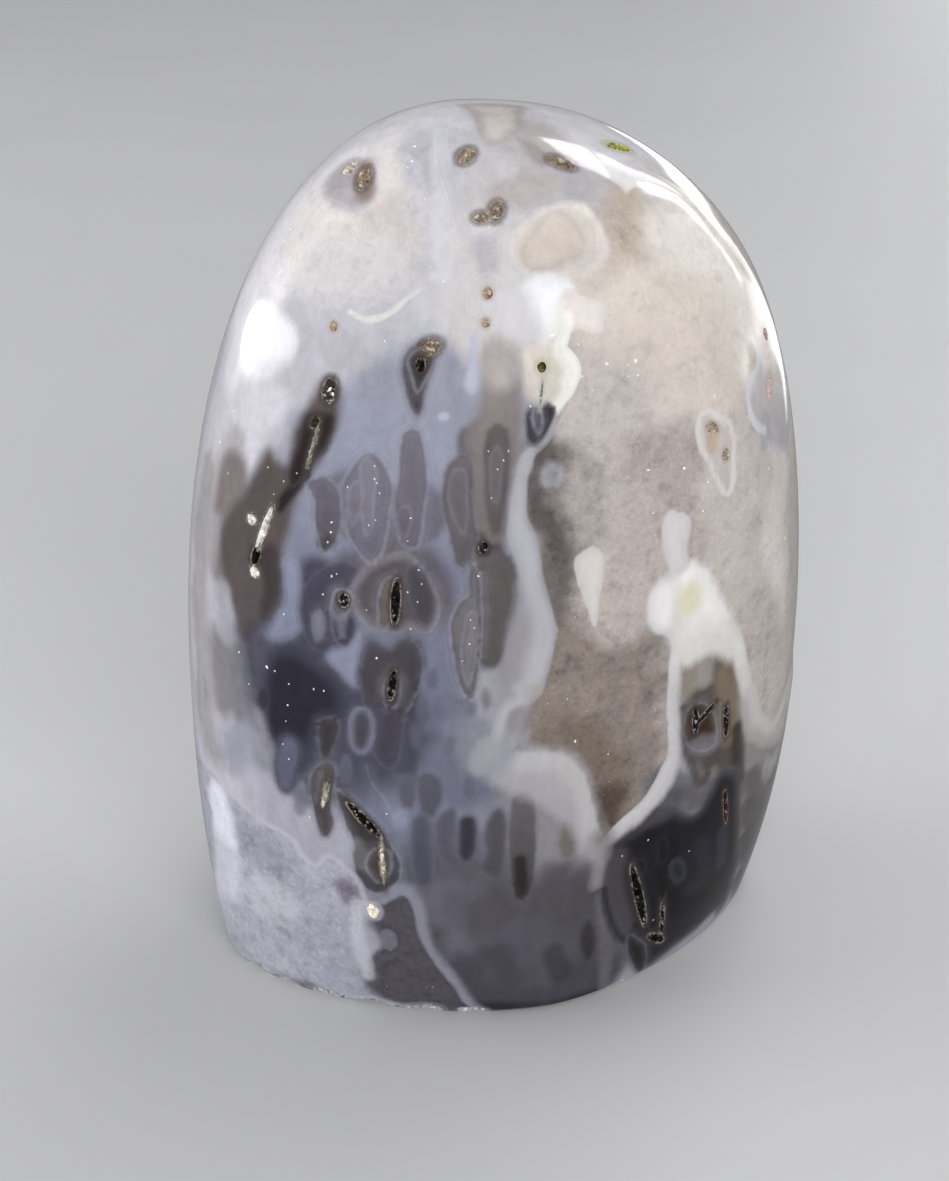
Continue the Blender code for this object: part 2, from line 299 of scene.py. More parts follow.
PITS = (
    Pit(-45.3, 71.2, 8.2, 1.2, 2.0, 18, WHITE_CRYSTALS),
    Pit(-48.6, 72.0, 1.9, 1.8, 1.2, 0, WHITE_CRYSTALS),
    Pit(-47.6, 67.4, 3.4, 1.3, 2.2, 12, BLACK_SHADED_CRACK),
    Pit(-48.3, 65.2, 2.0, 1.8, 1.0, 0, WHITE_CRYSTALS),
    Pit(-31, 90.4, 3.2, 1.8, 1.6, 8, BROWN_HOLLOW),
    Pit(-34, 83.0, 5.4, 0.55, 1.6, 12, CREAM_CRACK),
    Pit(-33.6, 86.4, 1.8, 1.0, 1.6, 30, BROWN_HOLLOW),
    Pit(-11.9, 94.3, 1.8, 1.2, 2.2, 0, DARK_SHADED_SLIT),
    Pit(-9.5, 96.6, 2.8, 2.0, 1.2, 66, BROWN_DRUSE),
    Pit(-19.2, 64.2, 6.4, 1.2, 2.6, 3, DARK_SHADED_SLIT),
    Pit(-21.7, 52.6, 4.6, 1.0, 2.2, 8, DARK_SHADED_SLIT),
    Pit(-28.8, 63.9, 1.9, 1.4, 1.4, 0, DARK_SHADED_SLIT),
    Pit(-31.5, 32.1, 6.7, 1.2, 2.6, -42, BLACK_SHADED_CRACK),
    Pit(-29.5, 25.4, 7.0, 0.7, 1.0, -2, CREAM_CRACK),
    Pit(-38.7, 35.1, 5.0, 0.8, 1.5, 11, CREAM_CRACK),
    Pit(18.8, 15.4, 12.5, 1.3, 3.0, -17, BLACK_SHADED_CRACK),
    Pit(24.0, 6.0, 4.6, 1.2, 2.0, -52, BLACK_SHADED_CRACK),
    Pit(25.2, 9.4, 6.4, 0.7, 1.2, -9, BLACK_SHADED_CRACK),
    Pit(31.8, 42.5, 4.4, 0.9, 2.0, -7, DARK_SHADED_SLIT),
    Pit(34.2, 43.1, 4.0, 0.8, 1.6, 48, DARK_SHADED_SLIT),
    Pit(39.2, 40.6, 5.8, 0.9, 2.0, -9, DARK_SHADED_SLIT),
    Pit(40.8, 25.0, 6.8, 0.8, 1.4, -16, RED_SLIT),
    Pit(-54, 114.3, 3.0, 2.4, 1.2, -40, PALE_DRUSE),
    Pit(-42.5, 113.9, 3.8, 2.2, 1.4, -30, BROWN_DRUSE),
    Pit(-3.7, 117.1, 3.0, 2.2, 1.2, 21, BROWN_DRUSE),
    Pit(7.8, 111.8, 2.8, 1.8, 1.2, 10, BROWN_DRUSE),
    Pit(3.2, 111.1, 2.0, 1.3, 1.0, 90, BROWN_DRUSE),
    Pit(37.5, 116.4, 3.8, 1.8, 1.1, -56, BROWN_DRUSE),
    Pit(80.2, 116.1, 4.8, 2.2, 1.5, -47, GREEN_CRYSTALS),
    Pit(3.5, 102.9, 1.7, 1.4, 0.9, 0, TAN_DRUSE),
    Pit(2.5, 99.5, 1.3, 1.1, 0.7, 0, TAN_DRUSE),
    Pit(12.5, 94.3, 1.5, 1.2, 1.6, 0, OLIVE_CRYSTALS),
    Pit(11.6, 91.2, 3.8, 0.35, 0.6, 6, PALE_CRACK),
    Pit(-32.0, 97.9, 1.5, 1.2, 0.6, 0, TAN_DRUSE),
    Pit(42.6, 84.6, 2.3, 1.6, 0.9, -48, TAN_DRUSE),
    Pit(44.4, 80.6, 1.9, 1.3, 0.8, 0, TAN_DRUSE),
    Pit(75.2, 92.0, 2.0, 1.3, 0.8, 0, PINK_DRUSE),
    Pit(68.8, 85.6, 3.4, 1.8, 1.0, 34, PINK_DRUSE),
    Pit(-2.5, 71.5, 1.6, 1.2, 0.9, 0, DARK_SHADED_SLIT),
    Pit(-33.8, 17.4, 2.6, 2.0, 0.9, -10, CREAM_DRUSE),
    Pit(152, 84, 6.0, 2.6, 1.8, 12, PALE_DRUSE),
    Pit(-158, 58, 7.5, 1.1, 2.2, -14, CREAM_CRACK),
    Pit(176, 103, 2.8, 2.0, 1.1, 30, BROWN_DRUSE),
    Pit(-132, 34, 8.0, 1.0, 2.2, 24, BLACK_SHADED_CRACK),
    Pit(112, 62, 4.4, 1.8, 1.5, -8, BROWN_DRUSE),
    Pit(-104, 92, 2.6, 1.8, 1.0, 15, TAN_DRUSE),
)

CHIP_LINING = Lining((0.30, 0.30, 0.34), (0.42, 0.42, 0.48), 0.3, 0.2)
CHIPS = (
    Pit(-99, 0.4, 5.0, 1.6, 1.0, 84, CHIP_LINING),
    Pit(-86, 0.3, 6.4, 2.2, 1.4, 96, CHIP_LINING),
    Pit(-76, 0.6, 4.2, 2.4, 1.6, 82, CHIP_LINING),
    Pit(-66, 0.3, 5.6, 1.8, 1.3, 94, CHIP_LINING),
    Pit(-53, 0.4, 7.0, 1.8, 1.2, 88, CHIP_LINING),
    Pit(-40, 0.2, 8.0, 2.6, 1.5, 91, CHIP_LINING),
    Pit(-28, 0.2, 6.4, 3.0, 1.3, 87, CHIP_LINING),
    Pit(-17, 0.3, 5.0, 1.6, 1.0, 95, CHIP_LINING),
    Pit(14, 0.2, 4.0, 1.2, 0.8, 90, CHIP_LINING),
)


# Outline

def smooth_step(low, high, value):
    """Rise from 0 at low to 1 at high, with no corners, on numbers or arrays."""
    t = np.clip((value - low) / (high - low), 0.0, 1.0)
    return t * t * (3 - 2 * t)


def soft_min(first, second, width):
    """The smaller of two arrays, with their crossing rounded over width."""
    share = np.clip(0.5 + 0.5 * (second - first) / width, 0.0, 1.0)
    return second + (first - second) * share - width * share * (1 - share)


def unit(vectors):
    """Vectors with their length made 1."""
    return vectors / np.linalg.norm(vectors, axis=-1, keepdims=True)


def side_swell(across, latitude):
    """How much wider than the plain form the stone is, at a sideways direction from -1 to 1."""
    offset = (latitude - RIGHT_SHOULDER_LATITUDE) / RIGHT_SHOULDER_SPREAD
    right = RIGHT_SHOULDER_SWELL * np.exp(-offset * offset)
    return np.where(across > 0, right, -LEFT_SIDE_TRIM) * np.sqrt(np.abs(across))


def rim_factor(x, y, rise, reach, swell):
    """How far the flat on the front rim draws points in towards the middle of the stone."""
    outer = np.abs(x / (HALF_WIDTH * (1 + swell))) ** PROFILE_POWER
    upper = (np.maximum(rise, 0.0) / reach) ** PROFILE_POWER
    radius = np.maximum((outer + upper) ** (1 / PROFILE_POWER), TINY)
    angle = np.degrees(np.arctan2(rise, x))
    ground = smooth_step(*RIM_RIGHT_ANGLES, angle) * (1 - smooth_step(*RIM_TOP_ANGLES, angle))
    limit = 1 - RIM_SLOPE * np.maximum(-y - RIM_START, -RIM_REACH) / HALF_WIDTH + (1 - ground) * RIM_FADE
    return np.minimum(soft_min(radius, limit, RIM_ROUNDING) / radius, 1.0)


def skin_points(turn, latitude):
    """Points of the polished skin before the pits are cut, for arrays of angles in radians."""
    heading = turn - math.pi / 2
    flat, steep = np.abs(np.cos(latitude)), np.abs(np.sin(latitude))
    scale = (flat**PROFILE_POWER + steep**PROFILE_POWER) ** (1 / PROFILE_POWER)
    rise_share, width_share = steep / scale, flat / scale
    depth_share = np.maximum(1 - rise_share**DOME_POWER, 0.0) ** (1 / DOME_POWER)
    reach = np.where(latitude > 0, HEIGHT - WAIST_HEIGHT, LOWER_REACH)
    rise = np.sign(latitude) * reach * rise_share
    lowness = np.maximum(1 - (WAIST_HEIGHT + rise) / HEIGHT, 0.0)
    squareness = CROWN_SQUARENESS + (BASE_SQUARENESS - CROWN_SQUARENESS) * lowness**2
    across, away = np.cos(heading), np.sin(heading)
    radius = (np.abs(across) ** squareness + np.abs(away) ** squareness) ** (-1 / squareness)
    swell = side_swell(across, latitude)
    x = HALF_WIDTH * width_share * (1 + swell) * across * radius
    y = HALF_DEPTH * depth_share * away * radius
    factor = rim_factor(x, y, rise, reach, swell)
    x = x * factor
    rise = np.where(rise > 0, rise * factor, rise)
    z = WAIST_HEIGHT + rise
    twist = BASE_TWIST * (1 - z / HEIGHT)
    turned_x = x * np.cos(twist) - y * np.sin(twist)
    turned_y = x * np.sin(twist) + y * np.cos(twist)
    return np.stack([turned_x, turned_y, z], axis=-1)


def skin_normals(turn, latitude):
    """Outward directions of the skin for arrays of angles in radians."""
    step = math.radians(0.4)
    along_turn = skin_points(turn + step, latitude) - skin_points(turn - step, latitude)
    along_rise = skin_points(turn, latitude + step) - skin_points(turn, latitude - step)
    return unit(np.cross(along_turn, along_rise))


def latitude_at(turn, height):
    """Latitude at which the skin reaches a height, found by halving, for one turn in radians."""
    low, high = LATITUDE_RANGE
    for _ in range(HALVINGS):
        middle = (low + high) / 2
        if skin_points(np.float64(turn), np.float64(middle))[2] < height:
            low = middle
        else:
            high = middle
    return (low + high) / 2


def skin_frame(turn, latitude):
    """Point on the skin with its across, up and outward directions, for one place."""
    point = skin_points(np.float64(turn), np.float64(latitude))
    outward = skin_normals(np.float64(turn), np.float64(latitude))
    upward = unit(UP - outward * outward[2])
    return point, np.cross(upward, outward), upward, outward


def pit_frame(pit):
    """Point on the skin at a pit's place, and its directions aside, along its lean and outward."""
    turn, lean = math.radians(pit.turn), math.radians(pit.lean)
    point, across, upward, outward = skin_frame(turn, latitude_at(turn, pit.height))
    along = upward * math.cos(lean) + across * math.sin(lean)
    return point, np.cross(along, outward), along, outward


def front_view_chart(points):
    """Flat map of the skin round its front, on which a closed outline can be tested for what it holds."""
    twist = BASE_TWIST * (1 - points[:, 2] / HEIGHT)
    x = points[:, 0] * np.cos(twist) + points[:, 1] * np.sin(twist)
    y = points[:, 1] * np.cos(twist) - points[:, 0] * np.sin(twist)
    rise = (points[:, 2] - CHART_MIDDLE) / CHART_REACH
    direction = unit(np.stack([x / HALF_WIDTH, -y / HALF_DEPTH, rise], axis=-1))
    angle = np.arccos(np.clip(direction[:, 1], -1, 1))
    spoke = np.arctan2(direction[:, 2], direction[:, 0])
    return np.stack([angle * np.cos(spoke), angle * np.sin(spoke)], axis=-1)


# Places on the skin

class At(NamedTuple):
    """A place given by its turn in degrees and height in mm, for where the photo doesn't show the stone."""

    turn: float
    height: float


class PhotoView:
    """The photograph's view of the stone, which turns its pixels into places on the skin."""

    def __init__(self):
        back = np.array((
            math.sin(PHOTO_TURN) * math.cos(PHOTO_ELEVATION),
            -math.cos(PHOTO_TURN) * math.cos(PHOTO_ELEVATION),
            math.sin(PHOTO_ELEVATION),
        ))
        self.place = np.array((0.0, 0.0, HEIGHT / 2)) + back * PHOTO_DISTANCE
        right = unit(np.cross(-back, UP))
        up = np.cross(right, -back)
        aside = (PHOTO_MIDDLE[0] - PHOTO_SIZE[0] / 2) / PHOTO_FOCAL
        above = (PHOTO_SIZE[1] / 2 - PHOTO_MIDDLE[1]) / PHOTO_FOCAL
        self.forward = unit(-back - right * aside - up * above)
        self.right = unit(np.cross(self.forward, UP))
        self.up = np.cross(self.right, self.forward)
        self.prepare_search()

    def pixels(self, points):
        """Pixels of the photograph at which points are seen."""
        offset = points - self.place
        depth = offset @ self.forward
        across = PHOTO_SIZE[0] / 2 + PHOTO_FOCAL * (offset @ self.right) / depth
        down = PHOTO_SIZE[1] / 2 - PHOTO_FOCAL * (offset @ self.up) / depth
        return np.stack([across, down], axis=-1)

    def prepare_search(self):
        """Look-up tree of the skin places that face the photograph, by pixel."""
        turn, latitude = np.meshgrid(
            np.radians(np.arange(*SEARCH_TURNS)), np.radians(np.arange(*SEARCH_LATITUDES))
        )
        self.turns, self.latitudes = turn.ravel(), latitude.ravel()
        points = skin_points(self.turns, self.latitudes)
        facing = np.einsum("ij,ij->i", skin_normals(self.turns, self.latitudes), self.place - points) > 0
        spots = self.pixels(points)
        self.tree = KDTree(int(facing.sum()))
        for index in np.nonzero(facing)[0]:
            self.tree.insert((spots[index, 0], spots[index, 1], 0.0), int(index))
        self.tree.balance()

    def places(self, pixels):
        """Turn and latitude, in radians, of the skin places seen at pixels."""
        nearest = [self.tree.find((x, y, 0.0))[1] for x, y in pixels]
        turn, latitude = self.turns[nearest], self.latitudes[nearest]
        goal = np.asarray(pixels, float)
        step, longest, least_area, rounds = 1e-4, 0.03, 1e3, 5
        for _ in range(rounds):
            here = self.pixels(skin_points(turn, latitude))
            by_turn = (self.pixels(skin_points(turn + step, latitude)) - here) / step
            by_rise = (self.pixels(skin_points(turn, latitude + step)) - here) / step
            miss = goal - here
            area = by_turn[:, 0] * by_rise[:, 1] - by_turn[:, 1] * by_rise[:, 0]
            area = np.where(np.abs(area) < least_area, least_area, area)
            turn_step = (miss[:, 0] * by_rise[:, 1] - miss[:, 1] * by_rise[:, 0]) / area
            rise_step = (miss[:, 1] * by_turn[:, 0] - miss[:, 0] * by_turn[:, 1]) / area
            turn = turn + np.clip(turn_step, -longest, longest)
            latitude = latitude + np.clip(rise_step, -longest, longest)
        return turn, latitude


def place_of(view, entry):
    """Turn and latitude in radians of one entry of an outline, a photo pixel or an At."""
    if isinstance(entry, At):
        turn = math.radians(entry.turn)
        return turn, latitude_at(turn, entry.height)
    turn, latitude = view.places([entry])
    return float(turn[0]), float(latitude[0])


def smooth_line(points, closed, spacing):
    """Curve through points at about even spacing, and the share of the way from point to point of each."""
    count = len(points)
    curve, shares = [], []
    spans = count if closed else count - 1
    for index in range(spans):
        if closed:
            before, start, end, after = (points[(index + k) % count] for k in (-1, 0, 1, 2))
        else:
            before, after = points[max(index - 1, 0)], points[min(index + 2, count - 1)]
            start, end = points[index], points[index + 1]
        pieces = max(int(round(np.linalg.norm(end - start) / spacing)), 1)
        for piece in range(pieces):
            t = piece / pieces
            bend = (
                2 * start + (end - before) * t + (2 * before - 5 * start + 4 * end - after) * t * t
                + (3 * start - before - 3 * end + after) * t**3
            )
            curve.append(bend / 2)
            shares.append(index + t)
    if not closed:
        curve.append(points[-1])
        shares.append(count - 1.0)
    return np.array(curve), np.array(shares)


# Pattern of the stone, with tones as the red, green and blue that the photograph shows, from 0 to 255

class Wash(NamedTuple):
    """A tone laid along a line of places: full for core mm to each side, then fading over reach mm."""

    line: tuple
    core: float
    reach: float
    tone: tuple
    strength: float = 1.0


class Form(NamedTuple):
    """A cell of the banding inside a closed outline, from its edge's tone to its middle's over depth mm."""

    outline: tuple
    edge: tuple
    middle: tuple
    depth: float = 1.4
    blur: float = 0.35
    rim: float = 0.5
    # sink is painted shade: the cell is lighter towards its top and darker towards its bottom, as under
    # light from above, and the other way round where it is below 0
    sink: float = 0.08
    strength: float = 1.0


class Drop(NamedTuple):
    """A drop-shaped cell: half sizes in mm, lean in degrees, and how far it narrows upwards."""

    place: tuple
    half_length: float
    half_width: float
    lean: float
    narrowing: float
    edge: tuple
    middle: tuple
    rim: float = 0.06
    strength: float = 0.8


class Streak(NamedTuple):
    """Milky chalcedony along a line: half widths on the way in mm, and the blur to its right and left."""

    line: tuple
    half_widths: tuple
    right_blur: float
    left_blur: float
    tone: tuple
    strength: float = 0.9


class Blot(NamedTuple):
    """Milky chalcedony inside a closed outline, blurred over soft mm outwards."""

    outline: tuple
    soft: float
    tone: tuple
    strength: float = 0.9


RIGHT_QUARTZ = (
    (571, 206), (599, 203), (623, 211), (650, 213), (680, 215), (705, 222),
    At(95, 108), At(125, 98), At(135, 75), At(120, 50), At(100, 40),
    (791, 668), (782, 703), (777, 716), (769, 726), (761, 716), (754, 693), (750, 667), (747, 644),
    (738, 621), (726, 606), (713, 580), (700, 567), (688, 561), (692, 545), (691, 516), (676, 509),
    (663, 515), (662, 560), (662, 578), (654, 585), (645, 601), (645, 619), (649, 633), (659, 639),
    (669, 642), (669, 660), (667, 680), (667, 703), (667, 726), (669, 757), (662, 763), (652, 778),
    (648, 795), (640, 803), (620, 822), (602, 838), (593, 823), (589, 803), (584, 784), (575, 770),
    (560, 759), (543, 756), (523, 757), (508, 752), (516, 738), (528, 722), (541, 704), (548, 682),
    (553, 658), (557, 636), (555, 618), (549, 598), (543, 578), (540, 556), (534, 536), (529, 518),
    (528, 502), (531, 482), (535, 464), (548, 447), (562, 419), (571, 394), (579, 375), (575, 350),
    (570, 330), (572, 300), (580, 275), (592, 262), (597, 245), (590, 222),
)
UPPER_LEFT_QUARTZ = (
    (405, 153), (419, 166), (424, 195), (432, 224), (436, 262), (432, 287), (419, 293), (403, 302),
    (392, 312), (375, 320), (363, 320), (348, 313), (336, 310), (308, 300), (279, 297), (262, 280),
    At(-75, 95), At(-95, 104), At(-80, 112), (350, 150), (378, 151), (394, 149),
)
LOWER_LEFT_QUARTZ = (
    (200, 758), (213, 775), (225, 790), (240, 806), (262, 824), (280, 833), (290, 840), (300, 856),
    (315, 868), (322, 864), (328, 858), (345, 870), (358, 883), (364, 905), (359, 937), (361, 951),
    (371, 975), (382, 992), (392, 1004), At(-30, 0), At(-60, 0), At(-90, 0), At(-120, 0), At(-140, 6),
    At(-138, 26), At(-118, 36), At(-98, 34),
)
DARK_QUARTZ = (
    (382, 921), (393, 908), (405, 903), (416, 912), (421, 932), (430, 955), (441, 971), (454, 985),
    (466, 1005), At(-6, 0), At(-16, 0), (396, 1004), (382, 992), (371, 975), (372, 955), (385, 945),
)
BACK_QUARTZ = (
    At(150, 22), At(163, 14), At(175, 20), At(177, 44), At(170, 62), At(158, 66), At(149, 50), At(147, 34),
)
BACK_UPPER_QUARTZ = (
    At(-168, 92), At(-150, 84), At(-130, 90), At(-122, 104), At(-135, 114), At(-160, 112),
)
QUARTZ_REGIONS = (
    RIGHT_QUARTZ, UPPER_LEFT_QUARTZ, LOWER_LEFT_QUARTZ, DARK_QUARTZ, BACK_QUARTZ, BACK_UPPER_QUARTZ,
)

# Cells of chalcedony that stand in the quartz
LEFT_CROWN_CELL = Form((
    (331, 172), (345, 160), (362, 157), (374, 164), (377, 180), (376, 196), (368, 208), (352, 213),
    (336, 208), (324, 198), (322, 186),
), (196, 190, 196), (176, 168, 172), 1.8, 1.0, 0.2)
RING_POCKET = Form((
    (700, 414), (710, 411), (720, 418), (729, 423), (734, 440), (733, 462), (733, 480), (729, 494),
    (724, 492), (718, 480), (710, 462), (701, 448), (697, 428),
), (216, 212, 210), (196, 186, 182), 0.8, 0.3, 0.2)
SIDE_POCKET = Form((
    (748, 345), (756, 350), (766, 372), (776, 385), (788, 392), (791, 420), (789, 450), (776, 452),
    (762, 440), (752, 422), (747, 402), (752, 385), (757, 368),
), (206, 205, 210), (190, 184, 186), 1.4, 0.5, 0.6)
UPPER_RING = Form((
    (552, 464), (560, 468), (562, 478), (557, 487), (548, 488), (541, 480), (543, 469),
), (172, 172, 180), (140, 140, 149), 0.9, 0.9, 0.1)
DARK_POCKET = Form((
    (525, 410), (524, 428), (527, 442), (534, 447), (541, 442), (548, 431), (554, 418), (556, 406),
    (548, 402), (538, 408), (531, 406),
), (64, 59, 64), (56, 51, 57), 0.7, 0.4, 0.4)
QUARTZ_HOLES = (LEFT_CROWN_CELL, RING_POCKET, SIDE_POCKET)
MILK_HOLES = (DARK_POCKET,)

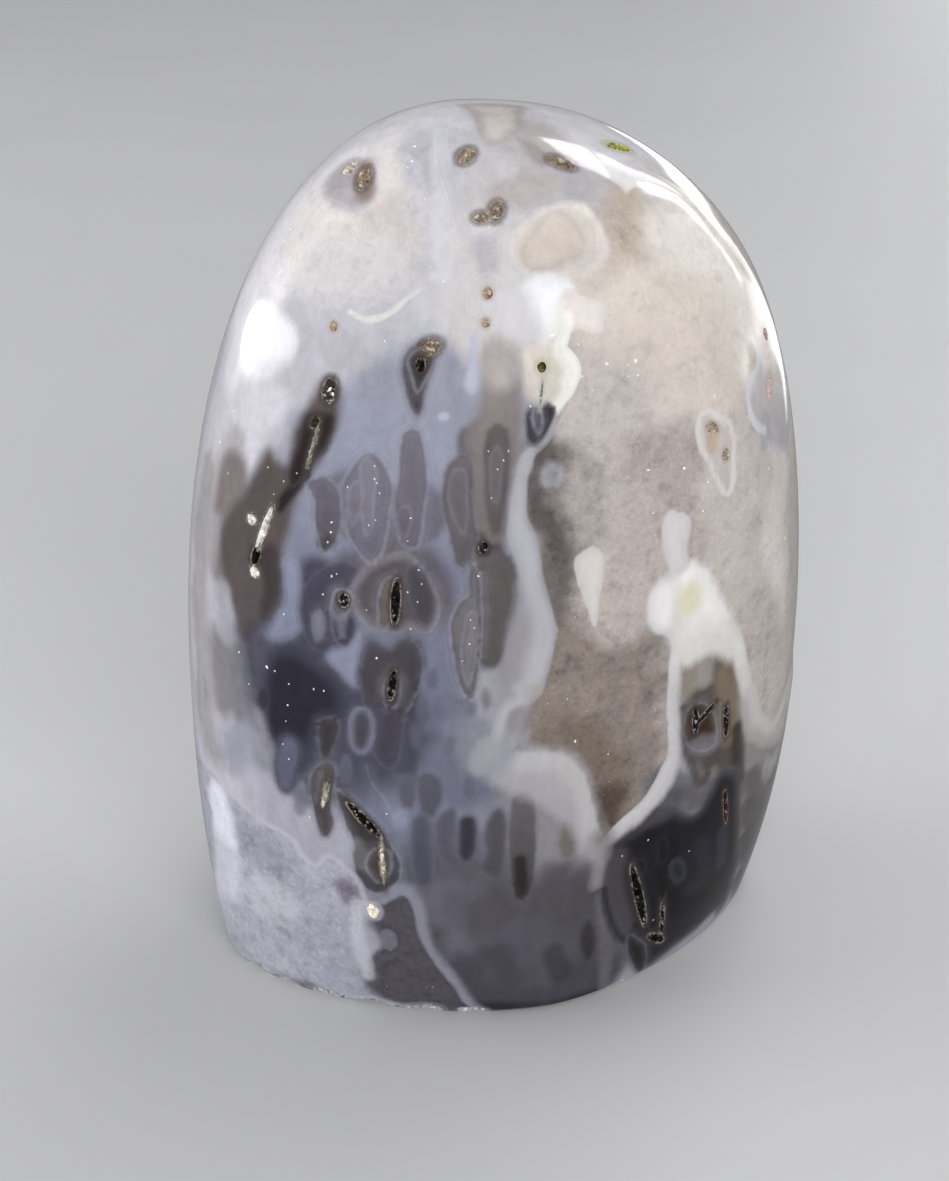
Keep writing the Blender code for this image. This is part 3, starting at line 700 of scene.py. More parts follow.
# The tones hold painted shade along with the stone's own colours: the lower part is painted darker than its
# colour alone, as under light from above
BASE_TONE = (166, 164, 177)
PATTERN = (
    Wash((At(180, 60), At(150, 60), At(120, 40)), 20, 30, (160, 158, 168)),
    Wash((At(-150, 50), At(-110, 60)), 14, 26, (172, 170, 180)),
    Wash((At(165, 95), At(-150, 100), At(-110, 105)), 12, 20, (190, 188, 195)),
    Wash((At(-85, 20), At(-88, 60), At(-85, 90)), 10, 10, (186, 184, 194)),
    Wash((At(60, 100), At(75, 70), At(85, 40)), 14, 12, (212, 204, 198)),
    Wash((At(75, 14), At(100, 12), At(125, 10)), 8, 12, (112, 107, 105)),

    Form(RIGHT_QUARTZ, (186, 177, 171), (196, 186, 179), 4, 0.8, 0, 0),
    Form(UPPER_LEFT_QUARTZ, (214, 209, 210), (214, 209, 209), 4, 0.8, 0, 0),
    Form(LOWER_LEFT_QUARTZ, (164, 164, 177), (164, 164, 177), 4, 0.5, 0, 0),
    Form(DARK_QUARTZ, (88, 86, 92), (88, 86, 92), 2, 0.5, 0, 0),
    Wash(((600, 560), (590, 640), (600, 720), (606, 780)), 7, 5, (142, 131, 124)),
    Wash(((640, 560), (620, 600)), 4, 4, (182, 172, 166)),
    Wash(((330, 170), (400, 125), (440, 118), (520, 112), (600, 135)), 5, 7, (214, 212, 217)),
    Wash(((222, 400), (210, 450)), 2.0, 3, (192, 190, 196)),
    Wash(((206, 478), (200, 530), (198, 600), (202, 680), (210, 740)), 2.2, 3, (164, 160, 163)),
    Wash(((300, 190), (290, 260), (268, 305)), 8, 8, (220, 218, 224)),
    Wash(((340, 225), (385, 200)), 6, 7, (217, 211, 209)),
    Wash(((405, 235), (408, 272)), 3, 5, (202, 194, 192)),
    Wash(((330, 290), (380, 298)), 4, 5, (207, 203, 204)),
    Wash(((300, 345), (350, 345), (400, 335)), 4, 5, (190, 189, 196)),
    Wash(((270, 395), (300, 385), (352, 375)), 3, 5, (184, 182, 191)),
    Wash(((240, 440), (262, 410)), 3, 4, (200, 198, 206)),
    Wash(((222, 480), (230, 455)), 1.6, 3, (172, 168, 170)),
    Wash(((232, 475), (226, 505), (222, 535), (220, 565)), 2.0, 2.2, (130, 121, 121)),
    Wash(((216, 650), (222, 700)), 1.6, 3, (134, 131, 136)),
    Wash(((234, 640), (238, 690), (246, 720), (262, 755)), 1.2, 2.2, (128, 127, 135)),
    Wash(((232, 755), (250, 745)), 1.5, 3, (152, 153, 166)),
    Wash(((447, 150), (448, 240), (444, 310)), 2.4, 3, (198, 196, 202)),
    Wash(((430, 150), (432, 165), (415, 145)), 1.4, 3, (186, 184, 194)),
    Wash(((440, 132), (440, 200), (441, 275)), 0.5, 1.2, (213, 212, 219), 0.8),
    Wash(((500, 160), (505, 190)), 3.5, 5, (194, 191, 194)),
    Wash(((495, 240), (500, 300), (495, 330)), 3.5, 5, (206, 202, 203)),
    Wash(((484, 246), (486, 262)), 0.5, 1.8, (186, 182, 188)),
    Wash(((560, 185), (600, 188), (640, 200)), 2.5, 3.5, (182, 179, 184)),
    Wash(((540, 150), (530, 135)), 2, 4, (188, 182, 182)),
    Wash(((512, 195), (530, 190)), 1.8, 2.5, (186, 178, 177)),
    Wash(((360, 432), (390, 425), (410, 415)), 2.5, 4, (166, 168, 187)),
    Wash(((400, 398), (440, 388), (458, 420)), 3, 5, (154, 155, 171)),
    Wash(((340, 455), (400, 450), (450, 462)), 4, 5, (152, 155, 173)),
    Wash(((312, 520), (380, 540), (440, 540)), 5, 6, (139, 141, 160)),
    Wash(((330, 600), (400, 610), (445, 610)), 5, 6, (126, 129, 149)),
    Wash(((350, 505), (385, 525), (412, 515)), 3.6, 1.5, (114, 111, 123)),
    Wash(((316, 580), (312, 630)), 2, 2, (80, 78, 91)),
    Wash(((362, 580), (400, 568), (425, 600), (425, 640), (400, 652)), 3, 2.2, (104, 100, 110)),
    Wash(((472, 440), (473, 500), (474, 560)), 1.2, 1.2, (112, 106, 110)),
    Wash(((480, 585), (480, 640), (474, 680)), 1.0, 1.2, (100, 95, 98)),
    Wash(((340, 680), (400, 690), (450, 690)), 5, 6, (120, 122, 142)),
    Wash(((350, 760), (420, 760), (470, 765)), 5, 6, (116, 118, 137)),
    Wash(((335, 740), (360, 785), (385, 830)), 3.5, 2.5, (88, 88, 103)),
    Wash(((390, 725), (402, 770), (398, 800)), 2, 2.5, (90, 88, 100)),
    Wash(((500, 690), (503, 720)), 2.2, 3, (160, 159, 168)),
    Wash(((470, 735), (478, 750)), 1.5, 3, (137, 137, 149)),
    Wash(((400, 825), (440, 860), (480, 860)), 4, 5, (120, 123, 142)),
    Wash(((400, 815), (403, 850), (402, 885)), 0.5, 1.0, (136, 141, 163)),
    Wash(((530, 800), (545, 830), (560, 870)), 3, 4, (140, 138, 144)),
    Wash(((440, 895), (520, 935), (590, 950)), 5.5, 8, (94, 92, 100)),
    Wash(((400, 900), (425, 925), (440, 950)), 1.5, 2.5, (124, 127, 141)),
    Wash(((450, 905), (470, 950)), 2, 4, (106, 105, 117)),
    Wash(((500, 915), (540, 910), (590, 895)), 3, 5, (90, 87, 93)),
    Wash(((455, 985), (480, 1002), (530, 1000), (590, 985)), 3, 4, (80, 78, 87)),
    Wash(((500, 960), (540, 980)), 2, 3, (80, 79, 88)),
    # Painted shade: a thin dark line along the bottom edge, where the stone turns under towards the floor
    Wash(((470, 1008), (590, 998), (640, 985)), 0.6, 1.3, (56, 54, 59)),
    Wash(((515, 935), (540, 960), (542, 975)), 1.6, 2.5, (94, 93, 104), 0.8),
    Wash(((602, 900), (605, 950), (603, 995)), 0.4, 1.2, (108, 105, 112), 0.8),

    Wash(((640, 228), (655, 240)), 3, 5, (188, 174, 160)),
    # The quartz's pale colour with a painted highlight: a lighter strip along the curve of the right
    # shoulder, where the broad light is mirrored
    Wash(((690, 250), (720, 290), (750, 330)), 5, 6, (224, 217, 210)),
    Wash(((640, 320), (700, 335)), 5, 6, (214, 204, 195)),
    Wash(((640, 400), (700, 400)), 5, 6, (207, 196, 189)),
    Wash(((640, 430), (642, 455)), 2, 3, (204, 195, 189)),
    Wash(((600, 410), (615, 470)), 4, 5, (194, 185, 179)),
    Wash(((670, 470), (690, 510)), 4, 5, (174, 163, 158)),
    Wash(((740, 470), (745, 540)), 4, 5, (194, 185, 178)),
    Wash(((640, 520), (625, 580)), 3, 5, (186, 176, 170)),
    # The quartz's pale colour with a painted highlight along the ridge of the right rim
    Wash(((775, 420), (782, 520), (778, 600)), 2, 4, (214, 206, 202)),
    Wash(((775, 650), (755, 615)), 2, 4, (185, 176, 171)),
    Wash(((580, 470), (572, 500), (568, 530)), 2, 4, (168, 160, 156)),
    Wash(((545, 455), (540, 485), (543, 515), (550, 545), (558, 580)), 0.6, 3.8, (102, 96, 95)),
    Wash(((570, 740), (600, 775)), 3, 4, (126, 115, 106)),
    Wash(((612, 800), (605, 825)), 1.5, 3, (94, 82, 74)),
    Wash(((548, 560), (553, 620)), 0.6, 1.6, (118, 110, 106), 0.7),

    Wash(((222, 830), (216, 800)), 1.5, 3, (216, 216, 228)),
    Wash(((224, 860), (226, 900)), 2, 4, (194, 195, 208)),
    Wash(((280, 880), (330, 900)), 3, 4, (165, 165, 177)),
    Wash(((240, 930), (270, 960)), 3, 4, (170, 170, 182)),
    Wash(((258, 895), (275, 905)), 2, 3, (182, 182, 193)),
    Wash(((330, 950), (350, 985)), 2, 3, (160, 162, 175)),
    Wash(((290, 990), (320, 1000)), 1.5, 3, (114, 113, 122)),
    Wash(((250, 848), (272, 858)), 1.5, 2.5, (148, 147, 160), 0.7),
    Wash(((400, 925), (410, 950), (400, 980), (430, 995)), 3, 3, (87, 85, 91)),
    Wash(((345, 888), (352, 900)), 0.8, 1.4, (112, 104, 118), 0.8),
    Wash(((357, 905), (358, 940), (368, 975)), 0.4, 1.2, (192, 193, 204), 0.7),

    Form((
        (462, 108), (470, 117), (481, 142), (494, 147), (506, 143), (514, 136), (522, 130), (524, 113),
        (518, 101), (470, 101),
    ), (176, 169, 166), (212, 204, 199), 2.2, 0.9, 0.3, -0.08),
    Form((
        (516, 138), (528, 140), (540, 148), (548, 162), (542, 168), (530, 160), (521, 150),
    ), (172, 163, 161), (168, 158, 156), 1, 0.4, 0.3),
    LEFT_CROWN_CELL,
    Wash(((362, 168), (366, 192)), 0.8, 1.4, (146, 128, 118), 0.8),
    Form((
        (513, 262), (511, 245), (517, 231), (530, 220), (543, 209), (575, 203), (590, 210), (607, 240),
        (608, 256), (600, 270), (586, 278), (548, 281), (530, 277),
    ), (222, 214, 208), (214, 205, 198), 1.2, 0.56, 0.5),
    Form((
        (520, 254), (526, 240), (538, 224), (551, 211), (560, 209), (580, 231), (586, 246), (580, 259),
        (566, 264), (550, 272), (536, 273), (524, 267),
    ), (200, 189, 178), (211, 200, 190), 1.2, 0.49, 0.35),
    Form((
        (516, 346), (545, 338), (556, 345), (566, 360), (569, 376), (565, 392), (556, 403), (545, 408),
        (535, 405), (526, 396), (521, 376),
    ), (204, 196, 188), (216, 209, 198), 1.4, 0.7, 0.3),
    Form((
        (470, 335), (476, 332), (478, 346), (477, 360), (480, 388), (474, 395), (467, 393), (463, 384),
        (471, 355),
    ), (178, 178, 196), (186, 186, 205), 0.6, 0.42, 0.2),
    Form((
        (419, 340), (429, 342), (436, 350), (437, 362), (427, 395), (423, 412), (416, 419), (410, 412),
        (402, 382), (401, 365), (405, 352),
    ), (96, 89, 93), (78, 70, 72), 0.9, 0.6, 0.5),
    Form((
        (408, 360), (411, 375), (418, 393), (431, 372), (434, 360), (428, 350), (416, 350),
    ), (62, 54, 53), (52, 45, 43), 0.8, 0.42, 0.8),
    Form((
        (483, 350), (492, 342), (515, 355), (523, 400), (519, 450), (517, 480), (512, 505), (506, 530),
        (503, 550), (497, 557), (487, 559), (478, 556), (472, 547), (475, 530), (472, 510), (470, 480),
        (470, 455), (466, 440), (470, 425), (478, 410), (482, 395), (481, 370),
    ), (132, 123, 122), (136, 127, 126), 1.4, 1.0, 0.12, 0.3),
    Wash(((500, 352), (502, 372)), 1.2, 2.2, (182, 174, 171), 0.8),
    Form((
        (488, 432), (496, 424), (506, 428), (511, 445), (510, 480), (505, 510), (499, 535), (492, 536),
        (487, 515), (484, 480), (484, 450),
    ), (98, 92, 92), (104, 97, 97), 0.9, 0.55, 0.12, 0.1),
    Form((
        (492, 455), (497, 446), (503, 455), (502, 480), (498, 505), (493, 500), (490, 478),
    ), (118, 112, 113), (112, 106, 107), 0.5, 0.45, 0.2),
    Wash(((477, 540), (482, 553), (494, 553)), 0.5, 1.1, (72, 64, 64), 0.85),
    Form((
        (445, 470), (455, 457), (465, 454), (472, 460), (475, 477), (474, 500), (478, 540), (474, 550),
        (468, 569), (455, 566), (449, 540), (440, 505),
    ), (98, 93, 98), (108, 102, 106), 1.2, 0.49, 0.4, 0.12),
    Form((
        (450, 478), (458, 468), (466, 474), (468, 495), (467, 520), (462, 535), (449, 505),
    ), (114, 109, 114), (110, 104, 108), 0.7, 0.49, 0.3),
    Form((
        (404, 432), (419, 431), (427, 465), (424, 510), (420, 545), (413, 552), (405, 549), (398, 538),
        (394, 500), (397, 480), (398, 460),
    ), (106, 102, 113), (114, 110, 121), 1.1, 0.42, 0.7, 0.2),
    Form((
        (398, 512), (409, 508), (411, 522), (407, 536), (402, 546), (399, 532),
    ), (96, 93, 103), (104, 100, 110), 0.5, 0.35, 0.45),
    Form((
        (340, 487), (356, 462), (365, 455), (376, 459), (386, 470), (392, 484), (393, 500), (388, 520),
        (384, 545), (378, 558), (368, 562), (352, 545), (345, 530), (341, 510),
    ), (106, 103, 116), (114, 111, 123), 1.2, 0.42, 0.7, 0.12),
    Form((
        (360, 478), (358, 467), (363, 461), (375, 471), (374, 500), (370, 530), (364, 536), (361, 515),
    ), (122, 120, 132), (124, 120, 131), 0.5, 0.35, 0.5),
    Form((
        (346, 498), (348, 514), (351, 527), (357, 514), (362, 500), (362, 486), (354, 484),
    ), (110, 106, 117), (118, 114, 126), 0.5, 0.35, 0.5),
    Form((
        (306, 484), (314, 477), (326, 477), (340, 495), (339, 535), (333, 549), (327, 555), (321, 552),
        (314, 520), (315, 500),
    ), (90, 86, 96), (100, 96, 107), 1.0, 0.42, 0.6, 0.3),
    Wash(((322, 545), (331, 543)), 0.4, 0.9, (68, 62, 66), 0.8),
    Form((
        (268, 449), (275, 459), (286, 467), (291, 452), (292, 437), (300, 422), (320, 383), (328, 377),
        (338, 384), (342, 398), (335, 430), (316, 462), (305, 476), (296, 505), (289, 535), (281, 560),
        (281, 585), (275, 606), (264, 626), (250, 646), (240, 640), (231, 606), (221, 568), (219, 536),
        (228, 512), (243, 492), (254, 470),
    ), (92, 83, 82), (97, 88, 87), 1.5, 1.1, 0.12),
    Wash(((222, 590), (226, 635)), 0.6, 2.0, (160, 160, 171), 0.85),
    Form((
        (305, 416), (320, 410), (335, 414), (336, 430), (322, 454), (306, 472), (292, 486), (285, 474),
        (294, 444),
    ), (66, 57, 55), (58, 49, 47), 1.0, 0.9, 0.12),
    Wash(((305, 474), (292, 490), (278, 508)), 0.4, 0.9, (52, 43, 42), 0.9),
    Wash(((270, 560), (274, 590), (268, 615)), 1.1, 1.8, (72, 64, 66), 0.85),
    Wash(((250, 580), (247, 625)), 1.0, 2.0, (98, 91, 93), 0.7),

    Wash(((272, 672), (300, 690), (330, 705), (380, 728)), 4.6, 4, (78, 77, 92), 0.95),
    Wash(((304, 605), (303, 640)), 2, 2.5, (74, 73, 86), 0.9),
    Wash(((302, 730), (300, 760), (306, 792)), 1.4, 2.2, (82, 81, 96), 0.9),
    Form((
        (303, 590), (312, 575), (325, 566), (340, 562), (356, 566), (362, 575), (354, 590), (354, 612),
        (357, 620), (356, 635), (348, 645), (330, 652), (312, 650), (302, 632), (300, 612),
    ), (76, 74, 87), (80, 77, 90), 1.2, 0.7, 0.15),
    Form((
        (313, 616), (320, 611), (324, 622), (322, 638), (316, 642), (311, 630),
    ), (116, 114, 130), (124, 122, 138), 0.5, 0.49, 0.3),
    Form((
        (272, 656), (290, 652), (312, 664), (330, 680), (340, 700), (334, 722), (318, 724), (310, 744),
        (306, 764), (296, 772), (274, 748), (266, 728), (262, 705), (264, 678),
    ), (64, 63, 75), (54, 53, 64), 1.8, 1.3, 0),
    Form((
        (326, 655), (331, 650), (340, 650), (348, 646), (358, 632), (360, 645), (356, 675), (359, 690),
        (352, 688), (332, 668),
    ), (126, 128, 150), (138, 141, 165), 0.7, 0.63, 0.3),
    Form((
        (283, 562), (292, 560), (300, 575), (297, 615), (300, 628), (290, 638), (278, 642), (266, 638),
        (272, 622), (281, 605), (283, 585),
    ), (120, 123, 145), (132, 137, 160), 0.8, 0.7, 0.3),
    Form((
        (366, 640), (385, 648), (400, 660), (405, 700), (402, 735), (396, 765), (384, 768), (372, 750),
        (364, 720), (362, 680),
    ), (76, 74, 87), (80, 77, 89), 1.0, 0.98, 0.2),
    Form((
        (350, 590), (358, 575), (370, 563), (400, 554), (422, 570), (438, 605), (430, 632), (420, 634),
        (410, 628), (398, 634), (370, 628), (351, 603),
    ), (126, 119, 125), (94, 88, 92), 1.6, 0.7, 0.3),
    Form((
        (405, 572), (420, 568), (428, 578), (436, 608), (427, 628), (413, 612),
    ), (86, 83, 92), (82, 79, 87), 0.9, 0.6, 0.15),
    Form((
        (379, 588), (393, 577), (395, 600), (387, 629), (381, 628), (377, 618),
    ), (84, 74, 70), (104, 92, 84), 0.6, 0.35, 0.7),
    Form((
        (336, 590), (350, 592), (353, 602), (350, 613), (342, 617), (334, 615), (331, 606),
    ), (88, 85, 90), (96, 93, 92), 0.6, 0.35, 0.9),
    Form((
        (332, 617), (342, 621), (352, 616), (357, 625), (354, 638), (345, 648), (338, 646), (332, 634),
    ), (74, 72, 86), (66, 63, 76), 0.6, 0.42, 0.4),
    Wash(((338, 620), (341, 637), (345, 620)), 0.2, 0.45, (112, 112, 132), 0.8),
    Form((
        (362, 650), (375, 645), (388, 650), (400, 641), (412, 640), (420, 650), (423, 665), (415, 700),
        (402, 720), (396, 716), (385, 706), (360, 690), (358, 670),
    ), (84, 80, 88), (80, 75, 82), 1.1, 0.7, 0.08, 0.15),
    Wash(((415, 648), (417, 670), (411, 698), (403, 713)), 0.3, 1.1, (70, 66, 72), 0.7),
    Form((
        (391, 672), (398, 680), (399, 695), (394, 708), (386, 709), (382, 697), (384, 681),
    ), (58, 51, 49), (74, 66, 64), 0.6, 0.35, 0.7),
    Form((
        (477, 600), (478, 562), (488, 553), (503, 553), (513, 564), (518, 590), (514, 622), (501, 665),
        (482, 664), (477, 636),
    ), (94, 89, 89), (100, 95, 95), 1.1, 0.6, 0.15, 0.05),
    Form((
        (468, 566), (475, 566), (480, 585), (481, 615), (480, 645), (479, 682), (469, 702), (460, 688),
        (456, 672), (449, 640), (449, 622), (461, 600), (469, 595), (467, 580),
    ), (84, 78, 82), (112, 107, 112), 1.0, 0.42, 0.75, 0.1),
    Form((
        (466, 618), (474, 612), (477, 630), (476, 660), (468, 686), (461, 655),
    ), (98, 93, 98), (122, 118, 127), 0.6, 0.35, 0.6),
    Form((
        (318, 722), (333, 720), (338, 730), (329, 757), (323, 761), (318, 750),
    ), (70, 66, 68), (66, 62, 63), 0.8, 0.5, 0.3),
    Form((
        (348, 722), (354, 711), (364, 709), (372, 720), (373, 736), (368, 750), (358, 754), (349, 744),
    ), (124, 124, 144), (82, 79, 88), 1.1, 0.5, 0.3),
    Form((
        (273, 755), (272, 775), (276, 788), (284, 796), (292, 793), (297, 780), (302, 750), (296, 738),
        (282, 736),
    ), (72, 72, 86), (98, 100, 120), 1.1, 0.7, 0.12),
    Form((
        (318, 765), (330, 762), (336, 775), (331, 808), (333, 822), (329, 836), (322, 839), (316, 830),
        (309, 785),
    ), (80, 74, 76), (84, 78, 78), 0.9, 0.49, 0.5, 0.1),
    Wash(((321, 775), (319, 800)), 0.25, 0.6, (116, 111, 116), 0.6),
    Form((
        (336, 790), (358, 808), (380, 828), (398, 858), (400, 872), (396, 885), (378, 896), (359, 882),
        (352, 855), (353, 845), (342, 822),
    ), (64, 60, 63), (72, 67, 69), 1.0, 0.49, 0.7),
    Wash(((358, 845), (362, 865)), 0.5, 0.8, (108, 107, 108), 0.8),
    Wash(((388, 862), (392, 878), (382, 888)), 0.4, 0.7, (52, 48, 52), 0.8),
    Form((
        (368, 856), (376, 850), (388, 852), (391, 866), (386, 880), (378, 884), (366, 868),
    ), (96, 90, 90), (78, 68, 62), 0.5, 0.31, 0.7),

    Form((
        (400, 778), (410, 776), (415, 785), (415, 800), (410, 809), (404, 808), (399, 798),
    ), (94, 92, 106), (98, 96, 110), 0.6, 0.55, 0.1),
    Form((
        (420, 778), (430, 774), (440, 782), (442, 795), (432, 820), (424, 820), (420, 812), (418, 795),
    ), (88, 86, 100), (94, 92, 105), 0.8, 0.55, 0.1),
    Form((
        (412, 818), (425, 815), (432, 830), (434, 870), (430, 883), (423, 888), (415, 884), (410, 850),
    ), (96, 97, 112), (88, 87, 101), 0.9, 0.55, 0.1, 0.2),
    Form((
        (434, 830), (440, 815), (450, 808), (457, 815), (453, 845), (458, 862), (452, 868), (444, 865),
        (438, 852),
    ), (96, 95, 107), (92, 90, 102), 0.8, 0.55, 0.1),
    Form((
        (458, 820), (475, 818), (476, 850), (470, 862), (463, 863), (457, 854),
    ), (90, 88, 100), (66, 64, 74), 0.8, 0.55, 0.12),
    Form((
        (484, 825), (490, 812), (500, 808), (506, 818), (508, 835), (502, 870), (498, 880), (481, 874),
        (479, 864), (485, 853), (482, 840),
    ), (96, 93, 101), (88, 85, 93), 0.9, 0.6, 0.12),
    Form((
        (509, 805), (516, 793), (525, 790), (533, 797), (537, 835), (536, 855), (532, 888), (520, 902),
        (509, 880), (508, 840),
    ), (94, 89, 90), (92, 88, 91), 0.9, 0.5, 0.2, 0.5),
    Wash(((519, 862), (521, 892)), 0.5, 0.9, (50, 46, 45), 0.85),
    Form((
        (560, 825), (566, 818), (574, 825), (577, 840), (574, 855), (567, 863), (560, 858), (557, 842),
    ), (126, 121, 118), (118, 114, 108), 0.7, 0.8, 0.06),
    Form((
        (582, 930), (588, 921), (595, 926), (598, 942), (594, 958), (586, 962), (580, 948),
    ), (74, 70, 73), (66, 62, 64), 0.8, 0.9, 0.04),
    Wash(((552, 955), (560, 975)), 0.9, 1.6, (70, 69, 77), 0.8),
    Drop((469, 789), 1.6, 0.8, 0, 0, (104, 104, 120), (110, 110, 126)),
    Drop((432, 680), 1.6, 0.8, 0, 0.2, (98, 98, 114), (104, 104, 120)),
    Drop((423, 711), 2.0, 0.9, 0, 0.2, (98, 98, 114), (102, 102, 118)),
    Drop((415, 737), 1.8, 0.8, 0, 0, (98, 98, 114), (104, 104, 120)),
    Drop((448, 745), 1.9, 0.9, 4, 0.2, (112, 112, 128), (108, 108, 124)),
    Drop((470, 708), 1.4, 0.9, 0, 0, (118, 117, 130), (112, 111, 124)),
    Drop((486, 700), 1.6, 0.8, 0, 0, (124, 122, 132), (118, 116, 126)),
    Drop((345, 770), 2.0, 0.9, 0, 0.2, (104, 104, 120), (98, 98, 114)),
    Drop((262, 700), 1.6, 0.9, 0, 0, (62, 60, 72), (58, 56, 68)),
    Drop((300, 800), 2.4, 1.0, 6, 0.2, (124, 123, 136), (118, 117, 130)),

    DARK_POCKET,
    Form((
        (533, 408), (537, 405), (541, 412), (542, 426), (538, 436), (534, 428), (531, 416),
    ), (96, 92, 100), (84, 79, 86), 0.4, 0.28, 0.8),
    UPPER_RING,
    RING_POCKET,
    SIDE_POCKET,
    Wash(((714, 432), (712, 446)), 0.5, 1.0, (190, 168, 148), 0.8),
    Wash(((752, 352), (754, 372)), 0.5, 1.3, (176, 160, 144), 0.8),
    Wash(((766, 420), (764, 440)), 0.8, 1.6, (176, 172, 178), 0.8),

    Wash(((782, 745), (748, 750)), 1.0, 3.0, (146, 141, 138)),
    Wash(((778, 780), (748, 784)), 1.5, 3.0, (110, 105, 104)),
    Wash(((774, 812), (746, 812)), 1.8, 2.2, (96, 92, 90)),
    Wash(((764, 845), (742, 845)), 1.8, 2.2, (82, 78, 76)),
    Wash(((752, 880), (738, 878)), 1.2, 2.0, (66, 61, 60)),
    Wash(((662, 785), (690, 795), (712, 788)), 2.0, 2.0, (116, 114, 122)),
    Wash(((682, 664), (698, 650), (722, 648), (740, 662)), 1.4, 1.6, (166, 160, 155)),
    Form((
        (678, 744), (680, 715), (684, 676), (704, 656), (722, 655), (734, 662), (740, 682), (741, 720),
        (742, 760), (741, 800), (740, 830), (726, 830), (718, 800), (712, 775), (702, 784), (694, 772),
    ), (136, 126, 116), (92, 84, 80), 2.0, 1.6, 0.06),
    Wash(((724, 676), (728, 700), (730, 735)), 0.9, 2.0, (132, 117, 100), 0.9),
    Wash(((688, 668), (687, 688)), 0.8, 1.8, (150, 141, 129), 0.9),
    Wash(((706, 660), (704, 680)), 0.7, 1.5, (158, 151, 146), 0.9),
    Wash(((684, 710), (686, 740), (699, 784), (708, 775)), 0.3, 0.9, (74, 69, 69), 0.8),
    Wash(((738, 730), (739, 780)), 0.6, 1.4, (56, 48, 46), 0.85),
    Form((
        (686, 716), (694, 706), (704, 704), (714, 712), (717, 730), (713, 746), (703, 751), (692, 748),
        (686, 736),
    ), (84, 66, 46), (70, 52, 32), 0.8, 0.49, 0.6),
    Wash(((700, 744), (711, 744)), 0.9, 1.4, (118, 114, 120), 0.85),
    Wash(((690, 792), (700, 800), (712, 788)), 0.5, 1.6, (104, 102, 104), 0.85),
    Form((
        (602, 848), (634, 827), (664, 806), (694, 812), (706, 797), (718, 775), (730, 768), (740, 772),
        (741, 800), (740, 840), (738, 865), (728, 896), (712, 915), (680, 944), (640, 972), (628, 960),
        (616, 940), (607, 918), (601, 890), (602, 866),
    ), (80, 77, 81), (42, 41, 47), 2.6, 1.0, 0.15),
    Wash(((650, 816), (664, 812), (672, 800)), 0.8, 2.0, (88, 86, 93), 0.8),
    Wash(((616, 858), (612, 880), (618, 905), (624, 925)), 0.8, 2.0, (86, 83, 88), 0.8),
    # Painted sheen: lighter bluish patches over the dark slate's colour
    Wash(((700, 846), (704, 876), (690, 892)), 0.5, 2.4, (52, 52, 61), 0.8),
    Wash(((668, 846), (674, 905), (716, 892)), 0.8, 1.8, (26, 25, 29), 0.9),
    Wash(((632, 830), (650, 808)), 0.7, 1.6, (66, 63, 68), 0.8),
    # Painted sheen: a lighter bluish patch over the dark slate's colour
    Wash(((722, 832), (721, 864)), 0.4, 1.5, (62, 62, 74), 0.8),
    Wash(((718, 880), (722, 905)), 1.0, 1.6, (25, 23, 27), 0.8),
    Wash(((604, 890), (608, 915), (618, 938), (626, 940)), 0.3, 0.6, (52, 49, 58), 0.9),
    Form((
        (628, 935), (626, 950), (630, 963), (640, 972), (646, 962), (645, 946), (637, 938),
    ), (52, 50, 56), (30, 28, 26), 0.6, 0.49, 0.4),
    Drop((663, 850), 1.9, 0.7, 4, 0.2, (34, 28, 26), (28, 22, 20)),
    Drop((677, 872), 1.8, 1.1, 0, 0, (70, 70, 84), (50, 49, 58)),
    Drop((640, 868), 1.2, 0.8, 0, 0, (40, 36, 36), (36, 32, 32)),
)

